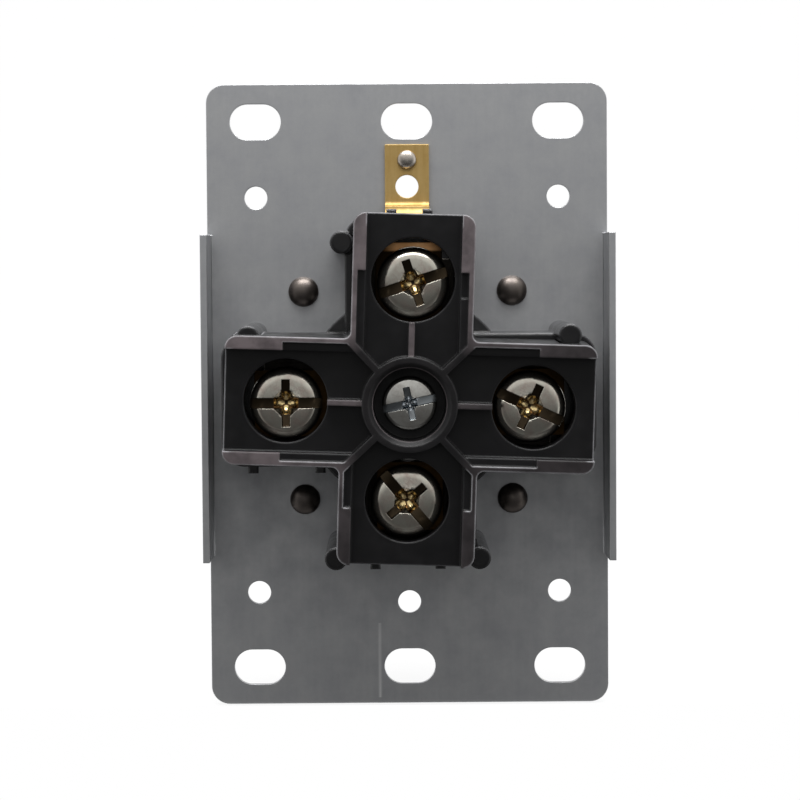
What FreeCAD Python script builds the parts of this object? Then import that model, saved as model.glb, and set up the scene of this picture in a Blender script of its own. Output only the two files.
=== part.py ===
import FreeCAD, Part
import math
import os

import Sketcher

V = FreeCAD.Vector

# A four-wire 30 A flush outlet seen upright, as it hangs in its box.
# X runs along the width, the face looks along -Y, the terminals look along +Y, Z is up.
# The origin is the middle of the strap's rear face.

# Driving sizes in millimetres and degrees: name, value, what it sets.
SIZES = (
    ("strap_width", 60.9, "strap, side to side"),
    ("strap_height", 94.7, "strap, top to bottom"),
    ("strap_sheet", 1.0, "strap sheet thickness"),
    ("strap_corner", 2.8, "strap corner radius"),
    ("flange_height", 10.0, "side flange, above the strap's rear face"),
    ("flange_length", 49.0, "side flange, along the strap"),
    ("flange_reach", 0.45, "flange outer face beyond the strap's edge"),
    ("flange_bend", 1.25, "flange outer bend radius"),
    ("slot_side", 7.44, "box slot and plate hole columns, from the strap's sides"),
    ("slot_end", 5.68, "box slot rows, from the strap's ends"),
    ("box_slot_length", 7.8, "box screw slot, long way"),
    ("box_slot_width", 5.4, "box screw slot, short way"),
    ("corner_step", 11.51, "corner wall plate holes, inward of the slot rows"),
    ("centre_step", 9.92, "centre wall plate holes, inward of the slot rows"),
    ("plate_hole", 3.5, "wall plate hole diameter"),
    ("opening_margin", 0.6, "strap opening beyond the contact pockets"),
    ("rivet_pitch", 31.75, "strap rivets, square pitch"),
    ("rivet_shank", 2.6, "strap rivet shank diameter"),
    ("rivet_head", 4.6, "strap rivet head diameter"),
    ("rivet_dome", 1.6, "strap rivet head height"),
    ("rivet_bevel", 1.1, "strap rivet head bevel"),
    ("rivet_play", 0.1, "rivet shank to hole, on the radius"),
    ("face_diameter", 53.2, "front face diameter"),
    ("face_depth", 7.5, "front face, strap to front"),
    ("face_edge", 1.0, "front face edge bevel"),
    ("face_sink", 1.8, "rivet counterbore depth in the face"),
    ("blade_slot", 2.4, "blade slot width"),
    ("line_slot", 13.6, "line blade slot length"),
    ("line_pitch", 23.8, "line blades, middle to middle"),
    ("ground_hole", 5.8, "ground pin hole diameter"),
    ("ground_rise", 12.4, "ground pin above the centre"),
    ("neutral_top", 7.6, "neutral slot, near end below the centre"),
    ("neutral_leg", 8.0, "neutral slot, upright leg length"),
    ("neutral_foot", 7.4, "neutral slot, foot length"),
    ("insert_diameter", 7.6, "face insert diameter"),
    ("insert_depth", 5.0, "face insert length"),
    ("carrier_depth", 15.0, "contact carrier, strap to cover"),
    ("carrier_line_width", 19.4, "carrier line arm width"),
    ("carrier_ground_width", 18.6, "carrier ground arm width"),
    ("carrier_neutral_width", 19.6, "carrier neutral arm width"),
    ("flange_clearance", 2.3, "carrier line arms to the side flanges"),
    ("carrier_ground_reach", 27.0, "carrier ground arm from the centre"),
    ("carrier_neutral_reach", 24.0, "carrier neutral arm from the centre"),
    ("carrier_corner", 3.4, "carrier arm corner radius"),
    ("hub_radius", 15.8, "carrier hub radius"),
    ("hub_depth", 13.0, "carrier hub depth"),
    ("post_radius", 1.65, "locating post radius"),
    ("post_along", 23.1, "line and ground posts, along their arms"),
    ("post_aside", 9.6, "line and ground posts, beside their arms"),
    ("post_neutral_along", 22.3, "neutral posts, along their arm"),
    ("post_neutral_x", 10.7, "neutral post on the line X side"),
    ("post_neutral_y", 9.95, "neutral post on the line Y side"),
    ("post_drop", 5.0, "locating post top below the cover rim"),
    ("post_play", 0.3, "locating post to cover scallop"),
    ("lug_width", 1.5, "snap lug width"),
    ("lug_reach", 1.0, "snap lug beyond the carrier wall"),
    ("lug_height", 1.6, "snap lug height"),
    ("lug_line_x_out", 23.0, "outer snap lug under the line X arm, from the centre"),
    ("lug_line_x_in", 13.1, "inner snap lug under the line X arm, from the centre"),
    ("lug_line_y", 12.5, "snap lug under the line Y arm, from the centre"),
    ("lug_neutral_x", 5.1, "neutral end snap lug on the line X side"),
    ("lug_neutral_y", 4.5, "neutral end snap lug on the line Y side"),
    ("lug_ground_x", 2.4, "ground end snap lug on the line X side"),
    ("lug_ground_y", 2.9, "ground end snap lug on the line Y side"),
    ("cover_depth", 15.0, "rear cover, carrier to rim"),
    ("cover_line_width", 18.3, "cover line arm width at the rim"),
    ("cover_ground_width", 17.3, "cover ground arm width at the rim"),
    ("cover_neutral_width", 19.6, "cover neutral arm width at the rim"),
    ("cover_line_reach", 26.4, "cover line arms from the centre"),
    ("cover_ground_reach", 27.05, "cover ground arm from the centre"),
    ("cover_neutral_reach", 23.0, "cover neutral arm from the centre"),
    ("cover_corner", 1.8, "cover arm corner radius"),
    ("cover_inner_corner", 1.0, "cover corner radius between arms"),
    ("cover_draft", 1.0, "cover wall draft, degrees"),
    ("cover_wall", 2.3, "cover side wall"),
    ("cover_roof", 3.8, "cover roof over the contacts"),
    ("cover_twist", 2.0, "cover turned on its one screw, degrees"),
    ("floor_drop", 3.0, "compartment floor below the rim"),
    ("wall_land", 1.9, "barrier wall at the arm end"),
    ("wall_ridge", 0.75, "barrier wall past the step"),
    ("land_length", 8.2, "thick barrier wall, along the arm"),
    ("land_step", 0.9, "barrier step below the rim"),
    ("notch_length", 3.6, "notch in the ground arm's line Y wall, along the arm"),
    ("notch_depth", 1.8, "notch in the ground arm's line Y wall, below the rim"),
    ("barrier", 1.0, "diagonal barrier thickness"),
    ("ring_radius", 6.8, "centre ring radius"),
    ("ring_bore", 5.2, "centre well radius"),
    ("ring_bevel", 0.7, "centre ring bevel"),
    ("ring_well", 6.0, "centre well depth"),
    ("rib_width", 0.85, "rib from ring to well"),
    ("rib_drop", 0.6, "rib below the rim"),
    ("well_radius", 6.0, "terminal screw well radius"),
    ("line_terminal", 17.7, "line terminals from the centre"),
    ("ground_terminal", 17.7, "ground terminal from the centre"),
    ("neutral_terminal", 13.8, "neutral terminal from the centre"),
    ("screw_loose", 0.45, "loose terminal screw off the middle of its well"),
    ("neutral_loose", 0.2, "loose neutral screw off the middle of its well"),
    ("wire_gate", 10.4, "wire window width"),
    ("wire_sill", 1.6, "wire window above the carrier"),
    ("wire_height", 5.4, "wire window height"),
    ("contact_sheet", 1.2, "contact sheet thickness"),
    ("blade_gap", 1.6, "contact jaw gap"),
    ("jaw_start", 1.5, "contact jaws behind the strap"),
    ("jaw_depth", 13.2, "contact jaws, front to back"),
    ("jaw_width", 11.6, "line jaw width"),
    ("jaw_flare", 0.6, "jaw mouth bevel"),
    ("neutral_jaw", 4.4, "neutral jaw width"),
    ("neutral_inset", 0.9, "neutral jaw from the near end of its slot"),
    ("pin_bore", 2.45, "ground socket bore radius"),
    ("pin_wall", 1.15, "ground socket wall"),
    ("pin_slit", 0.9, "ground socket slit"),
    ("riser_depth", 4.8, "ground riser along the socket"),
    ("plate_width", 9.6, "terminal plate width"),
    ("plate_past", 4.6, "terminal plate past its screw"),
    ("ground_past", 5.8, "ground terminal plate past its screw"),
    ("spring_sheet", 0.5, "spring clip sheet"),
    ("spring_width", 4.6, "spring clip height"),
    ("spring_start", 2.0, "spring clip from the jaw mouth"),
    ("spring_slit", 1.6, "spring clip slit"),
    ("pocket_play", 0.15, "contact pocket clearance"),
    ("hollow_play", 0.5, "contact riser to the cover's hollow"),
    ("screw_shank", 4.8, "terminal screw thread diameter"),
    ("screw_tip", 0.6, "terminal screw tip bevel"),
    ("screw_head", 10.4, "terminal screw head diameter"),
    ("screw_height", 2.8, "terminal screw head height"),
    ("screw_crown", 4.0, "terminal screw head crown radius"),
    ("crown_drop", 0.6, "terminal screw head crown, middle to edge"),
    ("shoulder_drop", 1.1, "terminal screw head shoulder below the crown"),
    ("screw_slot", 1.5, "terminal screw slot width"),
    ("screw_slot_depth", 1.5, "terminal screw slot depth"),
    ("cross_width", 1.2, "cross recess width"),
    ("cross_span", 6.4, "cross recess span"),
    ("cross_depth", 1.7, "cross recess depth"),
    ("cross_mouth", 5.4, "cross recess mouth, corner to corner"),
    ("mouth_depth", 1.1, "cross recess mouth depth"),
    ("cross_core", 3.0, "cross recess core, corner to corner"),
    ("core_depth", 2.3, "cross recess core depth"),
    ("seat_gap", 0.3, "gap between parts that move on each other"),
    ("bore_play", 0.3, "plain hole to screw, on the radius"),
    ("thread_play", 0.05, "tapped hole to screw, on the radius"),
    ("ground_turn", -18.0, "ground screw slot angle, degrees"),
    ("neutral_turn", 50.0, "neutral screw slot angle, degrees"),
    ("line_x_turn", 0.0, "line X screw slot angle, degrees"),
    ("line_y_turn", 25.0, "line Y screw slot angle, degrees"),
    ("assembly_turn", -12.0, "centre screw slot angle, degrees"),
    ("clamp_width", 12.0, "wire clamp across the arm"),
    ("clamp_length", 7.2, "wire clamp along the arm"),
    ("clamp_sheet", 1.8, "wire clamp thickness"),
    ("clamp_groove", 0.5, "wire clamp groove depth"),
    ("wire_gap", 4.8, "open wire space under the terminal plate"),
    ("centre_shank", 4.0, "centre screw diameter"),
    ("centre_head", 7.8, "centre screw head diameter"),
    ("centre_height", 2.5, "centre screw head height"),
    ("centre_crown", 3.0, "centre screw head crown radius"),
    ("centre_crown_drop", 0.45, "centre screw head crown, middle to edge"),
    ("centre_shoulder", 0.9, "centre screw head shoulder below the crown"),
    ("centre_length", 4.0, "centre screw, past the strap's front"),
    ("centre_slot", 1.2, "centre screw slot width"),
    ("centre_slot_depth", 1.2, "centre screw slot depth"),
    ("centre_cross_width", 1.0, "centre screw cross recess width"),
    ("centre_cross_span", 4.8, "centre screw cross recess span"),
    ("centre_cross_depth", 1.5, "centre screw cross recess depth"),
    ("centre_core", 2.6, "centre screw cross recess core, corner to corner"),
    ("strip_width", 6.7, "bonding strip width"),
    ("strip_sheet", 0.8, "bonding strip thickness"),
    ("strip_short", 3.57, "bonding strip's top end, inward of the slot row"),
    ("strip_gap", 0.1, "bonding strip bend to the carrier's end"),
    ("strip_bend", 0.8, "bonding strip inner bend radius"),
    ("strip_level", 4.0, "bonding strip entry behind the strap"),
    ("strip_play", 0.1, "bonding strip to its slot"),
    ("bond_inset", 2.3, "bonding rivet from the strip's top end"),
    ("bond_head", 2.9, "bonding rivet head diameter"),
    ("bond_shank", 1.7, "bonding rivet shank diameter"),
    ("bond_dome", 0.8, "bonding rivet head height"),
    ("bond_bevel", 0.5, "bonding rivet head bevel"),
)

doc = FreeCAD.newDocument("four_wire_outlet")
sheet = doc.addObject("Spreadsheet::Sheet", "sizes")
for row, (alias, number, note) in enumerate(SIZES, 1):
    sheet.set("A%d" % row, note)
    sheet.set("B%d" % row, str(number))
    sheet.setAlias("B%d" % row, alias)
doc.recompute()


class Dim:
    """A length that carries its value and the sheet expression it comes from."""

    def __init__(self, value, text):
        self.value = float(value)
        self.text = text

    def __add__(self, other):
        other = dim(other)
        return Dim(self.value + other.value, "(%s + %s)" % (self.text, other.text))

    def __sub__(self, other):
        other = dim(other)
        return Dim(self.value - other.value, "(%s - %s)" % (self.text, other.text))

    def __mul__(self, other):
        other = dim(other)
        return Dim(self.value * other.value, "(%s * %s)" % (self.text, other.text))

    def __truediv__(self, other):
        other = dim(other)
        return Dim(self.value / other.value, "(%s / %s)" % (self.text, other.text))

    def __neg__(self):
        return Dim(-self.value, "(-1 * %s)" % self.text)

    __radd__ = __add__
    __rmul__ = __mul__


def dim(value):
    """A plain number or a Dim, as a Dim."""
    if isinstance(value, Dim):
        return value
    return Dim(value, repr(value))


def size(name):
    """The named cell of the sheet."""
    return Dim(sheet.get(name), "sizes." + name)


def cosine(angle):
    return Dim(math.cos(math.radians(angle.value)), "cos(%s)" % angle.text)


def sine(angle):
    return Dim(math.sin(math.radians(angle.value)), "sin(%s)" % angle.text)


ZERO = Dim(0.0, "0")
PIECES = []


def new_body(label):
    """One piece of the outlet, named after the piece."""
    body = doc.addObject("PartDesign::Body", label)
    body.Label = label
    PIECES.append(body)
    return body


def new_sketch(body, name, role, offset=ZERO):
    """A sketch on one of the body's own origin planes, moved along its normal."""
    plane = [item for item in body.Origin.OriginFeatures if item.Role == role][0]
    sk = body.newObject("Sketcher::SketchObject", body.Name + "_" + name)
    sk.AttachmentSupport = [(plane, "")]
    sk.MapMode = "FlatFace"
    if offset is not ZERO:
        sk.setExpression("AttachmentOffset.Base.z", offset.text)
    return sk


def level(body, name, y):
    """A sketch in X and Z at the depth y."""
    return new_sketch(body, name, "XZ_Plane", -y)


def pin(sk, geo, end, x, y):
    """Hold one point at x and y, each bound to its expression."""
    for kind, where, axis in (("DistanceX", x, -2), ("DistanceY", y, -1)):
        if where is ZERO:
            sk.addConstraint(Sketcher.Constraint("PointOnObject", geo, end, axis))
            continue
        index = sk.addConstraint(Sketcher.Constraint(kind, -1, 1, geo, end, where.value))
        sk.setExpression("Constraints[%d]" % index, where.text)


def bind(sk, kind, geo, value):
    index = sk.addConstraint(Sketcher.Constraint(kind, geo, value.value))
    sk.setExpression("Constraints[%d]" % index, value.text)


def outline(sk, corners, arcs=None):
    """A closed outline through the corners. arcs: corner index to (radius, side of travel)."""
    arcs = arcs or {}
    count = len(corners)
    spots = [V(x.value, y.value, 0) for x, y in corners]
    ends = []
    for i in range(count):
        start = spots[i]
        stop = spots[(i + 1) % count]
        if i not in arcs:
            geo = sk.addGeometry(Part.LineSegment(start, stop), False)
            ends.append((geo, 1, 2))
            continue
        radius, side = arcs[i]
        chord = stop - start
        half = chord.Length / 2.0
        sag = radius.value - math.sqrt(max(radius.value ** 2 - half ** 2, 0.0))
        normal = V(-chord.y, chord.x, 0).normalize()
        middle = (start + stop) * 0.5 + normal * (sag * side)
        geo = sk.addGeometry(Part.Arc(start, middle, stop), False)
        first = sk.getPoint(geo, 1)
        if (first - start).Length < 1e-6:
            ends.append((geo, 1, 2))
        else:
            ends.append((geo, 2, 1))
    for i in range(count):
        geo, first, last = ends[i]
        after, after_first, after_last = ends[(i + 1) % count]
        sk.addConstraint(Sketcher.Constraint("Coincident", geo, last, after, after_first))
        pin(sk, geo, first, corners[i][0], corners[i][1])
    for i in arcs:
        bind(sk, "Radius", ends[i][0], arcs[i][0])


def rectangle(sk, x0, x1, y0, y1):
    outline(sk, [(x0, y0), (x1, y0), (x1, y1), (x0, y1)])


def circle(sk, x, y, radius):
    geo = sk.addGeometry(Part.Circle(V(x.value, y.value, 0), V(0, 0, 1), radius.value), False)
    pin(sk, geo, 3, x, y)
    bind(sk, "Radius", geo, radius)


def obround(sk, x, y, length, width):
    """A slot with round ends, long along X."""
    half = (length - width) / 2
    end = width / 2
    corners = [
        (x - half, y - end),
        (x + half, y - end),
        (x + half, y + end),
        (x - half, y + end),
    ]
    reach = end * 1.0000001
    outline(sk, corners, {1: (reach, -1), 3: (reach, -1)})


def finish(body, feature, grows, before):
    """Recompute and make sure that the feature did add or remove material."""
    body.Tip = feature
    doc.recompute()
    change = body.Shape.Volume - before
    if (change > 1e-6) is not grows or abs(change) < 1e-6:
        raise RuntimeError("%s changed the volume by %f" % (feature.Name, change))
    return feature


def volume(body):
    if body.Tip is None:
        return 0.0
    return body.Shape.Volume


def pad(body, sk, length, rear=True, both=False, taper=None):
    """Add material: rearward, forward or to both sides of the sketch."""
    before = volume(body)
    feature = body.newObject("PartDesign::Pad", sk.Name + "_pad")
    feature.Profile = sk
    feature.setExpression("Length", length.text)
    if both:
        feature.Midplane = True
    else:
        feature.Reversed = rear
    if taper is not None:
        feature.setExpression("TaperAngle", taper.text)
    return finish(body, feature, True, before)


def pocket(body, sk, length, rear=True, through=False):
    """Remove material from the sketch rearward or forward."""
    before = volume(body)
    feature = body.newObject("PartDesign::Pocket", sk.Name + "_cut")
    feature.Profile = sk
    if through:
        feature.Type = "ThroughAll"
        feature.Midplane = True
    else:
        feature.setExpression("Length", length.text)
        feature.Reversed = not rear
    return finish(body, feature, False, before)


def revolve(body, sk):
    before = volume(body)
    feature = body.newObject("PartDesign::Revolution", sk.Name + "_turn")
    feature.Profile = sk
    feature.ReferenceAxis = (sk, ["V_Axis"])
    feature.Angle = 360.0
    return finish(body, feature, True, before)


def edge_names(body, wanted):
    """Names of the edges of the body's last feature that the test picks."""
    names = []
    for index, edge in enumerate(body.Tip.Shape.Edges, 1):
        if wanted(edge):
            names.append("Edge%d" % index)
    if not names:
        raise RuntimeError("no edge found on " + body.Label)
    return names


def dress(body, kind, prop, names, value):
    """A fillet or a bevel on named edges."""
    base = body.Tip
    feature = body.newObject("PartDesign::" + kind, "%s_%s_%d" % (body.Name, kind, len(body.Group)))
    feature.Base = (base, names)
    feature.setExpression(prop, value.text)
    body.Tip = feature
    doc.recompute()
    if "Invalid" in feature.State or feature.Shape.isNull():
        raise RuntimeError("%s failed on %s" % (kind, body.Label))
    return feature


def fillet(body, names, radius):
    return dress(body, "Fillet", "Radius", names, radius)


def bevel(body, names, width):
    return dress(body, "Chamfer", "Size", names, width)


def along_depth(edge):
    """True for a straight edge that runs along Y, or nearly so."""
    way = edge.Vertexes[-1].Point - edge.Vertexes[0].Point
    return way.Length > 0.999 * edge.Length and abs(way.y) > 0.9 * way.Length


def middle_of(edge):
    return edge.BoundBox.Center


def near(point, x, z, reach=0.6):
    return math.hypot(point.x - x, point.z - z) < reach


def ring_at(edge, y, radius, reach=0.01):
    """True for a whole circle about a line along Y at the depth y."""
    if not isinstance(edge.Curve, Part.Circle):
        return False
    return abs(edge.Curve.Center.y - y) < reach and abs(edge.Curve.Radius - radius) < reach


def place(body, x, y, z, turn=None):
    """Move a piece, and turn it clockwise as seen from the rear."""
    angle = ZERO if turn is None else turn
    spin = FreeCAD.Rotation(V(0, -1, 0), angle.value)
    body.Placement = FreeCAD.Placement(V(x.value, y.value, z.value), spin)
    for name, where in (("x", x), ("y", y), ("z", z)):
        if where is not ZERO:
            body.setExpression("Placement.Base." + name, where.text)
    if turn is not None and abs(turn.value) > 1e-9:
        body.setExpression("Placement.Rotation.Angle", turn.text)


# Depths shared by the pieces, measured from the strap's rear face.
strap_front = -size("strap_sheet")
face_front = strap_front - size("face_depth")
carrier_rear = size("carrier_depth")
rim = carrier_rear + size("cover_depth")
floor = rim - size("floor_drop")
plate_rear = floor - size("cover_roof")
plate_front = plate_rear - size("contact_sheet")
jaw_front = size("jaw_start")
jaw_rear = jaw_front + size("jaw_depth")
clamp_rear = plate_front - size("wire_gap")
clamp_front = clamp_rear - size("clamp_sheet")
screw_seat = plate_rear + size("seat_gap")
centre_seat = rim - size("ring_well")

# Columns and rows of the strap's slots and holes, and the pieces that keep to them.
half_width = size("strap_width") / 2
half_height = size("strap_height") / 2
column = half_width - size("slot_side")
slot_row = half_height - size("slot_end")
corner_row = slot_row - size("corner_step")
centre_row = slot_row - size("centre_step")
strip_top = slot_row - size("strip_short")
bond_rise = strip_top - size("bond_inset")
flange_outer = half_width + size("flange_reach")
flange_inner = flange_outer - size("strap_sheet")
carrier_line = flange_inner - size("flange_clearance")

# The cover, its screws and its clamps are turned together about the centre.
twist = size("cover_twist")
twist_cos = cosine(twist)
twist_sin = sine(twist)


def turned(x, z):
    """Where a point of the cover lies once the cover is turned."""
    return x * twist_cos - z * twist_sin, x * twist_sin + z * twist_cos


def unturned(x, z):
    """Where a fixed point lies in the cover's own directions."""
    return x * twist_cos + z * twist_sin, z * twist_cos - x * twist_sin


# The terminal screws stand loose in their wells: three hang low and one leans to the centre.
loose = size("screw_loose")
TERMINALS = {
    "ground": turned(ZERO, size("ground_terminal") - loose),
    "neutral": turned(ZERO, -size("neutral_terminal") - size("neutral_loose")),
    "line_x": turned(size("line_terminal"), -loose),
    "line_y": turned(loose - size("line_terminal"), ZERO),
}

# Contact jaws: two leaves on each side of the blade.
leaf_in = size("blade_gap") / 2
leaf_out = leaf_in + size("contact_sheet")
line_mid = size("line_pitch") / 2
neutral_near = size("neutral_top") + size("neutral_inset")
neutral_far = neutral_near + size("neutral_jaw")
neutral_end = size("neutral_top") + size("neutral_leg")
pin_outer = size("pin_bore") + size("pin_wall")
ground_rise = size("ground_rise")
riser_rear = ground_rise - pin_outer + size("pin_wall") / 2
riser_front = riser_rear - size("contact_sheet")

# Pockets in the carrier, each round its contact and spring.
around = size("spring_sheet") + size("pocket_play")
line_pocket_near = line_mid - leaf_out - around
line_pocket_far = line_mid + leaf_out + around
line_pocket_half = size("jaw_width") / 2 + around
pin_pocket = pin_outer + around
riser_half = size("plate_width") / 2 + size("pocket_play")
neutral_pocket_half = leaf_out + around
neutral_pocket_near = neutral_near - around
neutral_pocket_far = neutral_end + size("pocket_play")
foot_near = neutral_end - size("blade_slot")
foot_pocket_near = foot_near - size("pocket_play")
foot_far = size("neutral_foot") - size("blade_slot") / 2
foot_pocket_far = foot_far + size("pocket_play")
neutral_riser_half = riser_half


def cross(half, high, low, line, ground, neutral):
    """The corners of the four-armed outline: half widths of its arms, then their reaches."""
    return [
        (line, -half), (line, half), (high, half), (high, ground),
        (-high, ground), (-high, half), (-line, half), (-line, -half),
        (-low, -half), (-low, -neutral), (low, -neutral), (low, -half),
    ]


POST_SPOTS = (
    (size("post_along"), size("post_aside")),
    (-size("post_along"), size("post_aside")),
    (size("post_aside"), size("post_along")),
    (size("post_neutral_x"), -size("post_neutral_along")),
    (-size("post_neutral_y"), -size("post_neutral_along")),
)
post_top = rim - size("post_drop")


def make_strap():
    body = new_body("mounting_strap")
    sk = level(body, "plate", strap_front)
    rectangle(sk, -half_width, half_width, -half_height, half_height)
    pad(body, sk, size("strap_sheet"))
    corners = edge_names(body, along_depth)
    fillet(body, corners, size("strap_corner"))

    # One side flange, a bent profile run along the strap, then its mirror image.
    bend = size("flange_bend")
    bend_in = bend - size("strap_sheet")
    bend_start = flange_outer - bend
    root = bend_start - size("strap_sheet")
    sk = new_sketch(body, "flange", "XY_Plane")
    profile = [
        (root, strap_front), (bend_start, strap_front), (flange_outer, bend_in),
        (flange_outer, size("flange_height")), (flange_inner, size("flange_height")),
        (flange_inner, bend_in), (bend_start, ZERO), (root, ZERO),
    ]
    outline(sk, profile, {1: (bend, -1), 5: (bend_in, 1)})
    flange = pad(body, sk, size("flange_length"), both=True)
    before = volume(body)
    mirror = body.newObject("PartDesign::Mirrored", "flange_mirror")
    mirror.Originals = [flange]
    middle = [item for item in body.Origin.OriginFeatures if item.Role == "YZ_Plane"][0]
    mirror.MirrorPlane = (middle, [""])
    finish(body, mirror, True, before)

    sk = level(body, "slots", ZERO)
    for across in (-column, ZERO, column):
        for up in (-slot_row, slot_row):
            obround(sk, across, up, size("box_slot_length"), size("box_slot_width"))
    pocket(body, sk, None, through=True)

    sk = level(body, "holes", ZERO)
    hole = size("plate_hole") / 2
    for side in (-1, 1):
        for up in (-1, 1):
            circle(sk, column * side, corner_row * up, hole)
        circle(sk, ZERO, centre_row * side, hole)
    circle(sk, ZERO, bond_rise, size("bond_shank") / 2 + size("rivet_play"))
    rivet = size("rivet_shank") / 2 + size("rivet_play")
    for side in (-1, 1):
        for up in (-1, 1):
            circle(sk, size("rivet_pitch") / 2 * side, size("rivet_pitch") / 2 * up, rivet)
    pocket(body, sk, None, through=True)

    # The opening for the contacts follows their pockets in the carrier.
    margin = size("opening_margin")
    line = line_pocket_far + margin
    half = line_pocket_half + margin
    ground = ground_rise + pin_pocket + margin
    top = riser_half + margin
    neutral = neutral_pocket_far + margin
    low = foot_pocket_far + margin
    sk = level(body, "opening", ZERO)
    corners = [
        (line, -half), (line, half), (top, half), (top, ground),
        (-top, ground), (-top, half), (-line, half), (-line, -half),
        (-low, -half), (-low, -neutral), (low, -neutral), (low, -half),
    ]
    outline(sk, corners)
    pocket(body, sk, None, through=True)


def make_face():
    body = new_body("front_face")
    radius = size("face_diameter") / 2
    sk = level(body, "disc", strap_front)
    circle(sk, ZERO, ZERO, radius)
    pad(body, sk, size("face_depth"), rear=False)
    rim_edge = edge_names(body, lambda edge: ring_at(edge, face_front.value, radius.value))
    bevel(body, rim_edge, size("face_edge"))

    slot = size("blade_slot") / 2
    sk = level(body, "blades", strap_front)
    for side in (-1, 1):
        near_x = (line_mid - slot) * side
        far_x = (line_mid + slot) * side
        if side < 0:
            near_x, far_x = far_x, near_x
        rectangle(sk, near_x, far_x, -size("line_slot") / 2, size("line_slot") / 2)
    circle(sk, ZERO, ground_rise, size("ground_hole") / 2)
    corners = [
        (-slot, -size("neutral_top")), (-slot, -neutral_end), (foot_far, -neutral_end),
        (foot_far, -foot_near), (slot, -foot_near), (slot, -size("neutral_top")),
    ]
    outline(sk, corners)
    rivet = size("rivet_shank") / 2 + size("rivet_play")
    for side in (-1, 1):
        for up in (-1, 1):
            circle(sk, size("rivet_pitch") / 2 * side, size("rivet_pitch") / 2 * up, rivet)
    pocket(body, sk, None, through=True)

    sk = level(body, "sinks", face_front)
    sink = size("rivet_head") / 2 + size("rivet_play")
    for side in (-1, 1):
        for up in (-1, 1):
            circle(sk, size("rivet_pitch") / 2 * side, size("rivet_pitch") / 2 * up, sink)
    pocket(body, sk, size("face_sink"))

    sk = level(body, "insert", strap_front)
    circle(sk, ZERO, ZERO, size("insert_diameter") / 2 + size("thread_play"))
    pocket(body, sk, size("insert_depth"), rear=False)


def make_insert():
    body = new_body("face_insert")
    sk = level(body, "sleeve", strap_front)
    circle(sk, ZERO, ZERO, size("insert_diameter") / 2)
    circle(sk, ZERO, ZERO, size("centre_shank") / 2 + size("thread_play"))
    pad(body, sk, size("insert_depth"), rear=False)


def make_carrier():
    body = new_body("contact_carrier")
    line = carrier_line
    ground = size("carrier_ground_reach")
    neutral = size("carrier_neutral_reach")
    half = size("carrier_line_width") / 2
    high = size("carrier_ground_width") / 2
    low = size("carrier_neutral_width") / 2
    sk = level(body, "cross", ZERO)
    outline(sk, cross(half, high, low, line, ground, neutral))
    pad(body, sk, carrier_rear)
    hub = size("hub_radius").value

    def outer_corner(edge):
        return along_depth(edge) and math.hypot(middle_of(edge).x, middle_of(edge).z) > hub

    fillet(body, edge_names(body, outer_corner), size("carrier_corner"))
    sk = level(body, "hub", ZERO)
    circle(sk, ZERO, ZERO, size("hub_radius"))
    pad(body, sk, size("hub_depth"))

    sk = level(body, "posts", ZERO)
    for x, z in POST_SPOTS:
        circle(sk, x, z, size("post_radius"))
    pad(body, sk, post_top)

    # Snap lugs just below the cover, on two arm ends and on the underside of the line arms.
    sk = level(body, "lugs", carrier_rear - size("lug_height"))
    wide = size("lug_width") / 2
    out = size("lug_reach")
    for x in (size("lug_line_x_out"), size("lug_line_x_in"), -size("lug_line_y")):
        rectangle(sk, x - wide, x + wide, -half - out, -half + out)
    for x in (size("lug_neutral_x"), -size("lug_neutral_y")):
        rectangle(sk, x - wide, x + wide, -neutral - out, -neutral + out)
    for x in (size("lug_ground_x"), -size("lug_ground_y")):
        rectangle(sk, x - wide, x + wide, ground - out, ground + out)
    pad(body, sk, size("lug_height"))

    # Pockets for the contacts with their springs and risers, right through the carrier.
    sk = level(body, "pockets", ZERO)
    rectangle(sk, line_pocket_near, line_pocket_far, -line_pocket_half, line_pocket_half)
    rectangle(sk, -line_pocket_far, -line_pocket_near, -line_pocket_half, line_pocket_half)
    circle(sk, ZERO, ground_rise, pin_pocket)
    wide = neutral_pocket_half
    corners = [
        (-wide, -neutral_pocket_near), (-wide, -neutral_pocket_far),
        (foot_pocket_far, -neutral_pocket_far), (foot_pocket_far, -foot_pocket_near),
        (wide, -foot_pocket_near), (wide, -neutral_pocket_near),
    ]
    outline(sk, corners)
    circle(sk, ZERO, ZERO, size("centre_shank") / 2 + size("bore_play"))
    pocket(body, sk, None, through=True)

    # Clearance for the ground and neutral risers, open to the cover.
    riser_play = size("pocket_play")
    sk = level(body, "risers", jaw_rear - size("riser_depth") - riser_play)
    rectangle(sk, -riser_half, riser_half, riser_front - riser_play, riser_rear + riser_play)
    pocket(body, sk, rim)
    sk = level(body, "neutral_riser", jaw_rear - size("contact_sheet") - riser_play)
    far = neutral_near + size("contact_sheet") + riser_play
    rectangle(sk, -riser_half, riser_half, -far, -neutral_near + riser_play)
    pocket(body, sk, rim)

    # Slot for the bonding strip through the ground arm.
    sk = new_sketch(body, "strip", "XY_Plane", ground + out)
    wide = size("strip_width") / 2 + size("strip_play")
    low_y = size("strip_level") - size("strip_play")
    high_y = size("strip_level") + size("strip_sheet") + size("strip_play")
    rectangle(sk, -wide, wide, low_y, high_y)
    before = volume(body)
    feature = body.newObject("PartDesign::Pocket", "carrier_strip_cut")
    feature.Profile = sk
    feature.setExpression("Length", (ground + out - ground_rise).text)
    finish(body, feature, False, before)


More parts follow.
